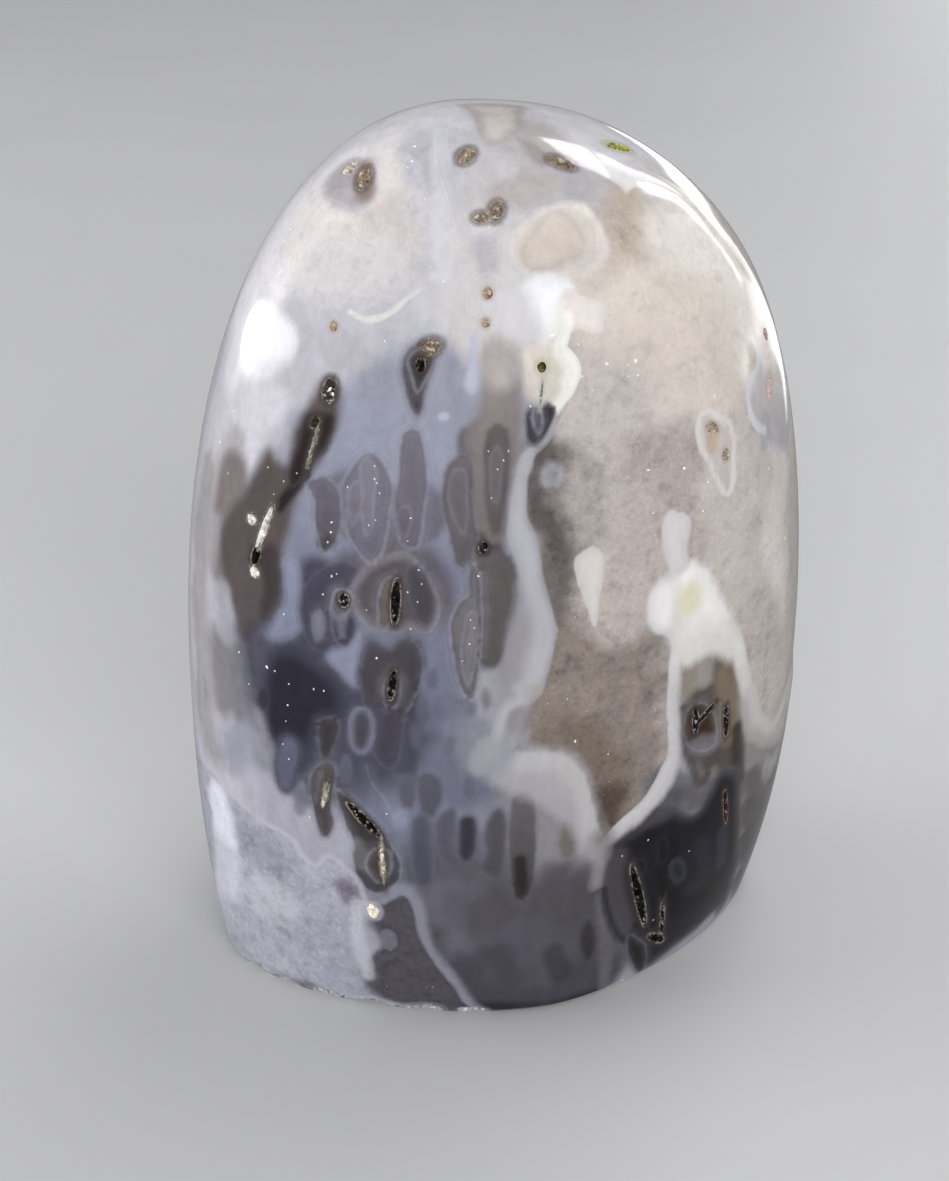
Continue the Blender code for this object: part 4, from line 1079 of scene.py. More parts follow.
MILK = (
    Blot((
        (564, 400), (550, 436), (532, 457), (528, 470), (524, 502), (526, 518), (533, 538), (541, 578),
        (553, 619), (554, 637), (545, 680), (539, 697), (528, 706), (516, 712), (507, 728), (502, 744),
        (492, 758), (486, 755), (492, 735), (504, 690), (509, 642), (514, 622), (521, 582), (508, 540),
        (509, 522), (514, 500), (521, 462), (528, 451), (537, 450), (551, 430), (560, 402),
    ), 0.5, (166, 165, 171), 0.85),
    Blot((
        (520, 585), (528, 600), (530, 625), (528, 655), (522, 685), (512, 712), (503, 735), (498, 720),
        (505, 695), (510, 665), (513, 635), (518, 610),
    ), 1.6, (152, 151, 158), 0.7),
    Streak(((530, 458), (523, 478), (520, 500), (518, 520), (525, 542), (530, 562), (533, 582), (541, 604),
            (546, 622), (545, 642), (540, 664), (536, 682)), (0.3, 0.3, 0.3, 0.3, 0.4, 0.5, 0.4),
           1.5, 0.6, (180, 180, 187), 0.9),
    Streak(((532, 692), (520, 704), (506, 712), (500, 728), (495, 744)), (0.4, 0.3, 0.5, 0.6), 0.8, 0.5,
           (176, 176, 183), 0.85),
    Blot(((513, 716), (526, 714), (533, 710), (530, 722), (520, 738), (508, 750)), 0.6,
         (140, 134, 134), 0.6),
    Blot((
        (530, 285), (545, 281), (560, 283), (571, 291), (568, 306), (556, 332), (534, 337), (524, 303),
    ), 1.5, (240, 240, 243), 0.95),
    Blot((
        (568, 294), (586, 299), (600, 303), (602, 320), (600, 333), (578, 327), (568, 330), (563, 315),
    ), 0.5, (230, 221, 217), 0.8),
    Blot((
        (500, 296), (514, 300), (524, 315), (530, 335), (520, 341), (508, 334), (500, 318),
    ), 1.6, (216, 214, 218), 0.8),
    Streak(((567, 316), (566, 332), (561, 346), (567, 358), (573, 370), (570, 384), (566, 397), (556, 408)),
           (0.5, 0.5, 0.6, 0.8, 0.8, 0.7, 0.45, 0.3), 1.2, 0.35, (240, 238, 230)),
    Blot((
        (664, 578), (688, 566), (710, 583), (722, 606), (733, 622), (741, 644), (744, 662), (738, 652),
        (712, 638), (684, 648), (674, 656), (672, 640), (653, 629), (650, 602),
    ), 0.85, (201, 199, 197), 0.97),
    Blot((
        (690, 568), (706, 578), (718, 600), (732, 624), (736, 640), (720, 636), (704, 632), (694, 612),
        (688, 590),
    ), 1.6, (234, 232, 230), 0.97),
    Blot(((656, 598), (662, 590), (668, 600), (664, 622), (656, 618)), 1.2, (228, 226, 226), 0.97),
    Blot(((688, 594), (692, 590), (695, 599), (693, 608), (688, 609), (686, 602)), 1.3,
         (216, 211, 184), 0.97),
    Streak(((676, 652), (672, 676), (671, 700), (672, 726), (673, 752), (669, 768), (659, 788), (646, 805),
            (628, 821), (610, 837), (602, 846)), (0.6, 0.5, 0.45, 0.45, 0.5, 1.0, 1.1, 0.9, 0.8, 0.6, 0.5),
           0.4, 1.5, (204, 202, 203), 0.92),
    Streak(((730, 630), (740, 654), (746, 682), (752, 706), (761, 724)), (1.0, 0.9, 0.6, 0.7, 0.6),
           1.3, 0.7, (212, 209, 206), 0.94),
    Blot(((682, 640), (706, 632), (730, 640), (738, 658), (722, 650), (704, 650), (686, 662)), 2.0,
         (224, 221, 218), 0.9),
    Blot((
        (746, 704), (753, 710), (762, 728), (776, 724), (786, 706), (784, 732), (774, 742), (758, 742),
        (748, 730),
    ), 1.3, (184, 179, 175), 0.8),
    Streak(((752, 690), (759, 716), (769, 727), (778, 716), (790, 670)), (0.5, 0.5, 0.4, 0.4, 0.4),
           0.8, 0.8, (206, 202, 200), 0.8),
    Blot((
        (666, 518), (671, 512), (677, 515), (688, 519), (688, 533), (684, 548), (685, 566), (673, 572),
        (664, 545),
    ), 0.6, (212, 209, 210), 0.85),
    Blot((
        (592, 549), (600, 552), (603, 563), (600, 585), (593, 626), (588, 608), (575, 568), (580, 555),
    ), 0.45, (214, 210, 207), 0.8),
    Streak(RING_POCKET.outline + RING_POCKET.outline[:1], (0.2,), 0.35, 0.5, (220, 216, 212), 0.8),
    Streak(((757, 345), (758, 366), (750, 385), (748, 404), (755, 425), (765, 432)), (0.25,), 0.5, 0.9,
           (220, 220, 225), 0.8),
    Blot((
        (500, 757), (523, 757), (543, 756), (560, 759), (575, 770), (584, 784), (593, 823), (603, 839),
        (602, 856), (588, 846), (574, 822), (556, 812), (536, 796), (512, 786), (492, 776),
    ), 2.2, (176, 174, 179), 0.85),
    Streak(((603, 840), (593, 824), (589, 803), (584, 785), (575, 771), (560, 760), (543, 757), (520, 758),
            (505, 754)), (0.4, 0.35, 0.3, 0.3, 0.35, 0.4, 0.4, 0.35, 0.3), 0.35, 1.4, (200, 198, 200), 0.8),
    Streak(((603, 842), (600, 862), (596, 885)), (0.6, 0.4, 0.2), 1.6, 1.2, (160, 158, 160), 0.6),
    Blot((
        (482, 745), (495, 742), (506, 750), (500, 764), (486, 772), (474, 768),
    ), 1.4, (170, 170, 178), 0.7),
    Streak(((348, 313), (363, 320), (377, 319), (392, 311), (404, 301), (420, 292)),
           (0.1, 0.2, 0.3, 0.2, 0.15, 0.1), 0.35, 0.5, (230, 226, 220), 0.7),
    Streak(((436, 262), (433, 224), (425, 195), (419, 168), (405, 155)), (0.15,), 0.5, 0.8,
           (214, 211, 216), 0.35),
    Streak(LOWER_LEFT_QUARTZ[:14], (0.12,), 0.3, 0.9, (196, 196, 206), 0.55),
    Streak((
        (382, 904), (401, 893), (416, 909), (421, 930), (430, 953), (455, 986), (468, 1004), (486, 1014),
    ), (0.2, 0.3, 0.25, 0.15, 0.1), 0.6, 1.5, (146, 147, 161), 0.85),
    Blot(((381, 934), (389, 931), (396, 938), (394, 948), (385, 950)), 0.4, (124, 124, 138), 0.7),
    Streak(((215, 520), (207, 600), (208, 680), (218, 740)), (0.3,), 1.5, 2.5, (190, 188, 196), 0.4),
    Streak(((443, 417), (445, 417)), (0.35,), 0.4, 0.4, (196, 197, 210), 0.6),
    Streak(((520, 690), (530, 700), (538, 693)), (0.2,), 0.6, 0.8, (186, 184, 186), 0.5),
    Streak(BACK_QUARTZ + BACK_QUARTZ[:1], (0.5,), 0.8, 1.4, (196, 195, 200), 0.7),
    Streak(BACK_UPPER_QUARTZ[:4], (0.4,), 0.8, 1.4, (206, 204, 208), 0.7),
)

# Thin pale lines, each with its brightness
THREADS = (
    (((464, 224), (467, 235), (476, 241), (490, 240), (501, 232), (509, 222), (510, 208)), 0.6),
    (((440, 132), (442, 166), (449, 184), (455, 205), (460, 222)), 0.6),
    (((463, 111), (472, 130), (480, 145), (495, 149), (509, 139), (518, 142), (528, 155), (540, 168)), 0.5),
    (((375, 142), (394, 133), (405, 130), (419, 135), (432, 133), (440, 132)), 0.6),
    (((455, 153), (455, 168), (461, 173), (470, 165), (478, 155)), 0.4),
    (((472, 310), (474, 296), (480, 284), (489, 279), (497, 284), (500, 298), (499, 312)), 0.5),
    (((366, 768), (372, 785), (384, 800), (394, 820)), 0.4),
    (((411, 641), (420, 650), (423, 666), (420, 685), (413, 702), (404, 718)), 0.45),
    (((414, 560), (426, 574), (436, 596), (438, 616), (430, 632)), 0.6),
)

# White specks in the polished skin: their width in mm, and the photo pixels of those so wide
SPECKS = (
    (0.41, (
        (248, 685), (285, 722), (282, 745), (309, 818), (374, 467), (374, 480), (376, 484), (379, 494),
        (368, 526), (488, 452), (508, 452), (497, 470), (491, 499), (462, 662), (421, 585), (407, 593),
        (366, 611), (410, 630), (296, 474), (283, 482), (267, 468), (330, 401), (407, 168), (384, 342),
        (628, 366), (578, 345), (592, 391),
    )),
    (0.47, (
        (288, 685), (323, 692), (336, 575), (288, 760), (386, 815), (648, 841), (689, 852), (653, 921),
        (347, 488), (375, 521), (407, 542), (410, 519), (503, 461), (470, 621), (474, 629), (469, 645),
        (567, 700), (608, 755), (418, 571), (417, 603), (283, 615), (273, 495), (329, 390), (332, 395),
        (443, 282), (424, 199), (611, 336), (628, 377), (734, 352), (708, 483), (703, 512), (653, 514),
        (659, 321),
    )),
    (0.54, (
        (238, 653), (274, 672), (287, 706), (313, 690), (376, 659), (322, 595), (331, 577), (622, 857),
        (331, 523), (330, 533), (327, 543), (478, 577), (530, 407), (240, 391), (232, 412), (219, 443),
        (227, 474), (356, 239), (290, 230), (582, 377), (638, 376), (704, 371), (715, 397),
    )),
    (0.68, (
        (443, 110), (414, 147), (411, 162), (648, 471),
    )),
    (0.81, (
        (266, 668), (575, 742), (552, 336), (684, 469), (769, 469), (785, 539),
    )),
    (1.08, (
        (606, 364), (635, 361),
    )),
)


# Settings

class StoneSettings(bpy.types.PropertyGroup):
    """Fineness of the stone's mesh and how its pattern is drawn."""

    columns: IntProperty(name="Columns", description="Faces round the stone", default=320, min=60)
    rows: IntProperty(name="Rows", description="Faces from the base to the crown", default=256, min=40)
    wander: FloatProperty(
        name="Wander", description="How far the edges of the pattern stray from smooth curves",
        default=0.0005, min=0.0, unit="LENGTH",
    )
    thread_colour: FloatVectorProperty(
        name="Threads", description="Colour of the thin pale lines",
        default=(0.40, 0.41, 0.49), subtype="COLOR",
    )
    gloss_roughness: FloatProperty(
        name="Polish", description="Roughness of the polished skin", default=0.11, min=0.0, max=1.0,
    )


class PitSettings(bpy.types.PropertyGroup):
    """Crystals that line the open pits."""

    grain: FloatProperty(
        name="Grain", description="Width of a crystal in the pits",
        default=0.00055, min=0.0001, unit="LENGTH",
    )
    seed: IntProperty(name="Seed", description="Start of the random draws", default=7, min=1)


class StageSettings(bpy.types.PropertyGroup):
    """Floor, light and camera."""

    floor_colour: FloatVectorProperty(
        name="Floor", description="Colour of the floor", default=(0.52, 0.52, 0.53), subtype="COLOR",
    )
    floor_size: FloatProperty(
        name="Floor size", description="Side of the floor", default=6.0, unit="LENGTH",
    )
    world_strength: FloatProperty(
        name="Room light", description="Strength of the even light", default=0.26, min=0.0,
    )


# Mesh of the stone

def skin_rings(columns, rows):
    """Rings of skin points from the base to just below the crown, finest at the front."""
    share = np.linspace(-1, 1, columns, endpoint=False)
    turn = math.pi * (FRONT_SPACING * share + (1 - FRONT_SPACING) * share**3)
    lowest = latitude_at(0.0, BASE_BEVEL)
    latitude = np.linspace(lowest, math.pi / 2, PATH_STOPS)
    path = skin_points(np.zeros_like(latitude), latitude)
    run = np.concatenate([[0.0], np.cumsum(np.linalg.norm(np.diff(path, axis=0), axis=1))])
    even = np.interp(np.linspace(0, run[-1], rows + 1)[:-1], run, latitude)
    turn_grid, latitude_grid = np.meshgrid(turn, even)
    return skin_points(turn_grid, latitude_grid)


class Seat:
    """Places the outline, in its own millimetres, in the box of the stone's node."""

    def __init__(self, columns, rows):
        self.rings = skin_rings(columns, rows)
        points = self.rings.reshape(-1, 3)
        low, high = points.min(axis=0), points.max(axis=0)
        low[2], high[2] = 0.0, HEIGHT
        self.low, self.stretch = low, (np.array(STONE_HIGH) - np.array(STONE_LOW)) / (high - low)

    def to_scene(self, points):
        """Points in the scene's metres."""
        return (points - self.low) * self.stretch + np.array(STONE_LOW)

    def to_outline(self, points):
        """Points in the outline's millimetres."""
        return (points - np.array(STONE_LOW)) / self.stretch + self.low


def add_mesh_object(name, vertices, faces, materials):
    """Object with a mesh made from lists of vertices and faces."""
    mesh = bpy.data.meshes.new(name)
    mesh.from_pydata([tuple(vertex) for vertex in vertices], [], faces)
    for material in materials:
        mesh.materials.append(material)
    built = bpy.data.objects.new(name, mesh)
    bpy.context.scene.collection.objects.link(built)
    return built


def build_blank(seat, materials):
    """The polished form before its pits are cut, closed at the crown and flat underneath."""
    rings = seat.to_scene(seat.rings)
    rows, columns = rings.shape[:2]
    inset = rings[0] - unit(rings[0] - rings[0].mean(axis=0)) * BASE_BEVEL * MM
    inset[:, 2] = STONE_LOW.z
    crown = seat.to_scene(np.array([0.0, 0.0, HEIGHT]))
    vertices = np.concatenate([inset, rings.reshape(-1, 3), crown[None, :]])
    faces = [tuple(range(columns - 1, -1, -1))]
    for row in range(rows):
        low, high = row * columns, (row + 1) * columns
        for column in range(columns):
            after = (column + 1) % columns
            faces.append((low + column, low + after, high + after, high + column))
    last, top = rows * columns, len(vertices) - 1
    for column in range(columns):
        faces.append((last + column, last + (column + 1) % columns, top))
    blank = add_mesh_object("agate_stone", vertices, faces, materials)
    blank.data.polygons[0].material_index = 2
    return blank


def unit_ball(fineness):
    """Ball with a radius of 1, as vertices and faces."""
    ball = bmesh.new()
    bmesh.ops.create_icosphere(ball, subdivisions=fineness, radius=1)
    vertices = np.array([vertex.co for vertex in ball.verts])
    faces = [tuple(vertex.index for vertex in face.verts) for face in ball.faces]
    ball.free()
    return vertices, faces


def crystal_lump(fineness, dents, bite, rng):
    """Closed lump of unit size with crystal-shaped dents, as vertices and faces."""
    vertices, faces = unit_ball(fineness)
    seeds = unit(np.array([[rng.gauss(0, 1) for _ in range(3)] for _ in range(dents)]))
    sizes = np.array([rng.uniform(*DENT_SIZES) for _ in range(dents)])
    apart = np.linalg.norm(vertices[:, None, :] - seeds[None, :, :], axis=2)
    nearest = (apart * math.sqrt(dents) / DENT_SPACING / sizes).min(axis=1)
    return vertices * (1 - bite * np.clip(1 - nearest, 0, 1))[:, None], faces


def cutting_matrix(pit, seat):
    """Matrix that lays a unit lump on a pit's place, in the scene's metres."""
    point, sideways, along, outward = pit_frame(pit)
    half_sizes = np.array((pit.width / 2, pit.length / 2, pit.depth)) * MM
    matrix = np.eye(4)
    matrix[:3, :3] = np.stack([sideways, along, outward], axis=1) * half_sizes
    matrix[:3, 3] = seat.to_scene(point)
    return matrix


def cut_pits(blank, seat, seed, druse):
    """Cut every pit and chip out of the blank and keep the cut mesh."""
    cutters = bpy.data.collections.new("Pit cutters")
    bpy.context.scene.collection.children.link(cutters)
    for index, pit in enumerate(PITS + CHIPS):
        rng = random.Random(seed * 1000 + index)
        broad = pit.width >= BROAD_PIT
        dents = int(DENTS_PER_AREA * pit.length * pit.width) + FEWEST_DENTS
        fineness = 4 if broad and index < len(PITS) else 3
        lump, faces = crystal_lump(fineness, dents, BROAD_BITE if broad else NARROW_BITE, rng)
        matrix = cutting_matrix(pit, seat)
        vertices = lump @ matrix[:3, :3].T + matrix[:3, 3]
        cutter = add_mesh_object(f"pit_cutter_{index}", vertices, faces, [druse])
        bpy.context.scene.collection.objects.unlink(cutter)
        cutters.objects.link(cutter)
    cut = blank.modifiers.new("Pits", "BOOLEAN")
    cut.operation = "DIFFERENCE"
    cut.solver = "EXACT"
    cut.operand_type = "COLLECTION"
    cut.collection = cutters
    cut.material_mode = "TRANSFER"
    finished = bpy.data.meshes.new_from_object(blank.evaluated_get(bpy.context.evaluated_depsgraph_get()))
    blank.modifiers.clear()
    blank.data = finished
    for cutter in list(cutters.objects):
        bpy.data.objects.remove(cutter)
    bpy.data.collections.remove(cutters)


def crystal_point(base, axis, width, length, spin):
    """Six-sided crystal with a pointed end, as vertices and faces; its base is inside the stone."""
    side = unit(np.cross(axis, (0.3, 0.5, 0.8)))
    other = np.cross(axis, side)
    angles = [spin + k * math.pi / 3 for k in range(6)]
    ring = [base + (side * math.cos(angle) + other * math.sin(angle)) * width / 2 for angle in angles]
    shoulder = axis * length * SHOULDER_SHARE
    vertices = ring + [corner + shoulder for corner in ring] + [base + axis * length]
    faces = [(5, 4, 3, 2, 1, 0)]
    for k in range(6):
        after = (k + 1) % 6
        faces += [(k, after, after + 6, k + 6), (k + 6, after + 6, 12)]
    return vertices, faces


def speck_lump(view, seat, pixel, width, rng):
    """Flat white speck in the skin at a photo pixel, as vertices and faces."""
    ball, faces = unit_ball(2)
    point, across, upward, outward = skin_frame(*place_of(view, pixel))
    stretch, spin = rng.uniform(*SPECK_STRETCHES), rng.uniform(0, math.pi)
    first = across * math.cos(spin) + upward * math.sin(spin)
    second = upward * math.cos(spin) - across * math.sin(spin)
    lumps = 1 + SPECK_LUMPS * np.array([rng.uniform(-1, 1) for _ in ball])
    ball[:, :2] *= lumps[:, None]
    sizes = np.array((width / 2 * stretch, width / 2 / stretch, SPECK_DEPTH))
    middle = point + outward * (SPECK_RISE - SPECK_DEPTH)
    return seat.to_scene(middle + (ball * sizes) @ np.stack([first, second, outward])), faces


def build_crystals(seat, view, grain, seed, material):
    """Crystals that stand in the pits, and the white specks in the skin, as one mesh with their tones."""
    rng = random.Random(seed)
    vertices, faces, tones = [], [], []

    def take(more, more_faces, tone):
        start = len(vertices)
        vertices.extend(more)
        faces.extend(tuple(start + index for index in face) for face in more_faces)
        tones.extend([tone] * len(more))

    for pit in PITS:
        matrix = cutting_matrix(pit, seat)
        wall = np.array(pit.lining.wall)
        crowding = CROWDING if wall.max() > DARK_WALL else CROWDING * DARK_CROWDING
        count = int(crowding * pit.length * pit.width) + FEWEST_CRYSTALS
        for _ in range(min(count, MOST_CRYSTALS)):
            turn, sink = rng.uniform(0, 2 * math.pi), rng.uniform(*CRYSTAL_SINKS)
            flat = math.sqrt(1 - sink * sink)
            ray = np.array((flat * math.cos(turn), flat * math.sin(turn), -sink))
            outward = unit(np.linalg.inv(matrix[:3, :3]).T @ ray)
            axis = unit(np.array([rng.uniform(-CRYSTAL_LEAN, CRYSTAL_LEAN) for _ in range(3)]) - outward)
            base = matrix[:3, :3] @ ray * CRYSTAL_SEAT + matrix[:3, 3] + outward * CRYSTAL_ROOT * MM
            width = grain * rng.uniform(*CRYSTAL_WIDTHS)
            room = (CRYSTAL_FILL * pit.depth * sink + CRYSTAL_ROOT) * MM
            length = min(width * rng.uniform(*CRYSTAL_LENGTHS), room)
            spin, shade = rng.uniform(0, 1), rng.uniform(*CRYSTAL_SHADES)
            take(*crystal_point(base, axis, width, length, spin), np.minimum(wall * shade, BRIGHTEST))
    for width, pixels in SPECKS:
        for pixel in pixels:
            take(*speck_lump(view, seat, pixel, width, rng), np.array(SPECK_COLOUR))
    crystals = add_mesh_object("pit_crystals", vertices, faces, [material])
    store(crystals.data, "wall_tone", np.array(tones))
    return crystals


# Painting the pattern

def near_line(points, normals, curve, reach):
    """Distance in mm to a curve, the same with its side as sign, and how far along it, within reach."""
    distance = np.full(len(points), float(reach))
    sided = np.full(len(points), float(reach))
    share = np.zeros(len(points))
    for start in range(0, max(len(curve) - 1, 1), CURVE_RUN):
        run = curve[start:start + CURVE_RUN + 1]
        low, high = run.min(axis=0) - reach, run.max(axis=0) + reach
        chosen = np.nonzero(np.all((points > low) & (points < high), axis=1))[0]
        local = points[chosen]
        for index in range(len(run) - 1):
            along = run[index + 1] - run[index]
            offset = local - run[index]
            t = np.clip(offset @ along / (along @ along + 1e-12), 0, 1)
            gap = offset - t[:, None] * along
            length = np.linalg.norm(gap, axis=1)
            closer = length < distance[chosen]
            hits = chosen[closer]
            distance[hits] = length[closer]
            left = np.einsum("ij,ij->i", np.cross(along, gap[closer]), normals[hits])
            sided[hits] = np.where(left < 0, -1.0, 1.0) * length[closer]
            share[hits] = start + index + t[closer]
    return distance, sided, share


def held_in(chart, outline):
    """True for each place of a flat chart that a closed outline holds."""
    low, high = outline.min(axis=0), outline.max(axis=0)
    chosen = np.nonzero(np.all((chart > low) & (chart < high), axis=1))[0]
    x, y = chart[chosen].T
    within = np.zeros(len(chosen), bool)
    for (x1, y1), (x2, y2) in zip(outline, np.roll(outline, -1, axis=0)):
        crosses = (y1 > y) != (y2 > y)
        slope = (x2 - x1) / (y2 - y1) if y2 != y1 else 0.0
        within ^= crosses & (x < slope * (y - y1) + x1)
    held = np.zeros(len(chart), bool)
    held[chosen] = within
    return held


class Canvas:
    """Points of the stone's mesh, in the outline's millimetres, on which the pattern is worked out."""

    def __init__(self, points, normals, view, wander):
        self.points, self.normals, self.view = points, normals, view
        strays = wander * sum(
            np.array([noise.noise_vector(Vector(point) * per_mm) * share for point in points])
            for per_mm, share in STRAY_WAVES
        )
        self.near = points + strays * CELL_STRAY
        self.far = points + strays * WASH_STRAY
        self.chart = front_view_chart(self.near)

    def spots(self, entries):
        """Skin points in mm for pixels of the photograph and At places."""
        places = np.array([place_of(self.view, entry) for entry in entries])
        return skin_points(places[:, 0], places[:, 1])

    def curve(self, entries, closed=False):
        """Smooth curve through places, with the share of the way of each of its points."""
        return smooth_line(self.spots(entries), closed, CURVE_SPACING)

    def depth_inside(self, outline, reach):
        """Distance in mm from a closed outline, above 0 inside it, and the curve's points."""
        curve, _ = self.curve(outline, closed=True)
        curve = np.concatenate([curve, curve[:1]])
        distance, _, _ = near_line(self.near, self.normals, curve, reach)
        return np.where(held_in(self.chart, front_view_chart(curve)), distance, -distance), curve

    def ellipse_gap(self, pit):
        """Points near a pit, and their gap in mm from its mouth, below 0 inside it."""
        spot, sideways, upright, _ = pit_frame(pit)
        chosen = np.nonzero(np.linalg.norm(self.points - spot, axis=1) < pit.length / 2 + STAIN_REACH)[0]
        offset = self.points[chosen] - spot
        along = offset @ upright / pit.length * 2
        aside = offset @ sideways / pit.width * 2
        radius = np.sqrt(along**2 + aside**2) + TINY
        slope = np.sqrt((along / pit.length) ** 2 + (aside / pit.width) ** 2) * 2 + TINY
        return chosen, radius * (radius - 1) / slope


class Lines:
    """Nearest pale line at each point: distance in mm, the same with its side as sign, and brightness."""

    def __init__(self, count):
        self.near = np.full(count, LINE_REACH)
        self.sided = np.full(count, LINE_REACH)
        self.brightness = np.zeros(count)

    def add(self, distance, sided, brightness):
        """Take in one more line."""
        closer = distance < self.near
        self.near[closer], self.sided[closer] = distance[closer], sided[closer]
        self.brightness[closer] = brightness

    def clear(self, chosen):
        """Take away the lines under a cell."""
        self.near[chosen], self.sided[chosen], self.brightness[chosen] = LINE_REACH, LINE_REACH, 0.0


def albedo(tone):
    """Linear albedo of a tone that the photograph shows."""
    shown = np.array(tone) / 255
    shown = shown.mean() + (shown - shown.mean()) * TONE_COLOUR
    return np.maximum(shown**TONE_POWER * TONE_GAIN - TONE_LIFT, DARKEST)


def drop_form(drop):
    """A drop as a cell with an outline, in the photo's pixels or in At places like the drop's own."""
    lean = math.radians(drop.lean)
    start, level = drop.place
    outline = []
    for step in range(DROP_CORNERS):
        angle = 2 * math.pi * step / DROP_CORNERS
        x = drop.half_width * math.cos(angle) * (1 - drop.narrowing * math.sin(angle))
        y = drop.half_length * math.sin(angle)
        aside = x * math.cos(lean) + y * math.sin(lean)
        above = y * math.cos(lean) - x * math.sin(lean)
        if isinstance(drop.place, At):
            outline.append(At(start + math.degrees(aside / SIDE_RADIUS), level + above))
        else:
            outline.append((start + aside * PIXELS_PER_MM, level - above * PIXELS_PER_MM))
    # Drops get the same painted shade, lighter at the top and darker at the bottom
    return Form(
        tuple(outline), drop.edge, drop.middle, depth=1.0, blur=0.5, rim=drop.rim, sink=0.1,
        strength=drop.strength,
    )


def paint_pattern(canvas, marks):
    """Lay the washes and cells over each other in order, and give the tone and the pale lines."""
    tone = np.tile(albedo(BASE_TONE), (len(canvas.points), 1))
    lines = Lines(len(canvas.points))
    for mark in marks:
        if isinstance(mark, Wash):
            curve, _ = canvas.curve(mark.line)
            places = canvas.far if mark.reach > BROAD_REACH else canvas.near
            distance, _, _ = near_line(places, canvas.normals, curve, mark.core + mark.reach)
            weight = 1 - smooth_step(mark.core, mark.core + mark.reach, distance)
            colour = albedo(mark.tone)
        else:
            form = drop_form(mark) if isinstance(mark, Drop) else mark
            depth, curve = canvas.depth_inside(form.outline, LINE_REACH)
            edge = np.abs(depth) < 1
            side = -1.0 if np.sum(lines.sided[edge] < 0) * 2 > np.sum(edge) else 1.0
            lines.clear(depth > form.blur)
            lines.add(np.abs(depth), -depth * side, form.rim)
            weight = smooth_step(-form.blur, form.blur, depth)
            # Painted shade: the cell is made lighter towards its top and darker towards its bottom by its
            # sink
            low, high = curve[:, 2].min(), curve[:, 2].max()
            rise = np.clip((canvas.points[:, 2] - low) / (high - low) * 2 - 1, -1, 1)
            inward = smooth_step(0, form.depth, depth)[:, None]
            colour = albedo(form.edge) + (albedo(form.middle) - albedo(form.edge)) * inward
            colour = colour * (1 + form.sink * rise)[:, None]
        tone += (colour - tone) * (weight * mark.strength)[:, None]
    for entries, brightness in THREADS:
        curve, _ = canvas.curve(entries)
        distance, sided, _ = near_line(canvas.points, canvas.normals, curve, LINE_REACH)
        lines.add(distance, sided, brightness)
    return tone, lines


def paint_quartz(canvas):
    """Depth inside the nearest region of quartz, in mm, below 0 outside and in its cells of chalcedony."""
    depth = np.full(len(canvas.points), -QUARTZ_REACH)
    for region in QUARTZ_REGIONS:
        depth = np.maximum(depth, canvas.depth_inside(region, QUARTZ_REACH)[0])
    for cell in QUARTZ_HOLES:
        depth = np.minimum(depth, -canvas.depth_inside(cell.outline, QUARTZ_REACH)[0])
    return depth


def paint_milk(canvas):
    """Milk, 1 or more in a streak's core and 0 or less beyond its blur, and its tone with its strength."""
    count = len(canvas.points)
    milk = np.full(count, -MILK_RANGE)
    tone, cover = np.zeros((count, 4)), np.zeros(count)
    for mark in MILK:
        if isinstance(mark, Blot):
            amount = 1 + canvas.depth_inside(mark.outline, MILK_RANGE * mark.soft)[0] / mark.soft
        else:
            curve, shares = canvas.curve(mark.line)
            reach = max(mark.half_widths) + 2 * max(mark.right_blur, mark.left_blur) + 1
            distance, sided, along = near_line(canvas.near, canvas.normals, curve, reach)
            share = np.interp(along, np.arange(len(shares)), shares)
            steps = np.linspace(0, len(mark.line) - 1, len(mark.half_widths))
            half_width = np.interp(share, steps, mark.half_widths)
            blur = np.where(sided < 0, mark.right_blur, mark.left_blur)
            amount = np.where(distance < reach, 1 + (half_width - distance) / blur, -MILK_RANGE)
        amount = np.clip(amount, -MILK_RANGE, MILK_RANGE)
        weight = smooth_step(-1.0, 1.0, amount)
        cover = weight + cover * (1 - weight)
        share = weight / np.maximum(cover, TINY)
        tone += (np.array((*albedo(mark.tone), mark.strength)) - tone) * share[:, None]
        milk = np.maximum(milk, amount)
    for cell in MILK_HOLES:
        milk = np.minimum(milk, 0.5 - canvas.depth_inside(cell.outline, MILK_RANGE)[0] / HOLE_EDGE)
    return milk, tone


def paint_stains(canvas):
    """Gap from the nearest pit in reaches of its stain, the stain's colour and strength, and its wall's."""
    count = len(canvas.points)
    stain = np.full(count, STAIN_END)
    tone = np.zeros((count, 4))
    wall = np.tile(PLAIN_WALL, (count, 1))
    for pit in PITS + CHIPS:
        chosen, gap = canvas.ellipse_gap(pit)
        reaches = gap / pit.lining.reach
        closer = reaches < stain[chosen]
        hits = chosen[closer]
        stain[hits] = reaches[closer]
        tone[hits] = (*pit.lining.stain, pit.lining.strength)
        wall[hits] = pit.lining.wall
    return stain, tone, wall


def side_drops(seed):
    """Drops for the sides and back, which the photograph doesn't show, hanging as those in front do."""
    rng = random.Random(seed)
    drops = []
    for _ in range(SIDE_DROP_COUNT):
        turn, height, half_length, half_width, shade, lean, narrowing, rim = (
            rng.uniform(*between) for between in SIDE_RANGES
        )
        if abs(turn - BARE_TURN[0]) < BARE_TURN[1] and abs(height - BARE_HEIGHT[0]) < BARE_HEIGHT[1]:
            continue
        edge, middle = (tuple(shade * part for part in tint) for tint in (EDGE_TINT, MIDDLE_TINT))
        place = At(turn if turn < 180 else turn - 360, height)
        drops.append(
            Drop(place, half_length, half_width, lean, narrowing, edge, middle, rim, SIDE_STRENGTH)
        )
    return drops


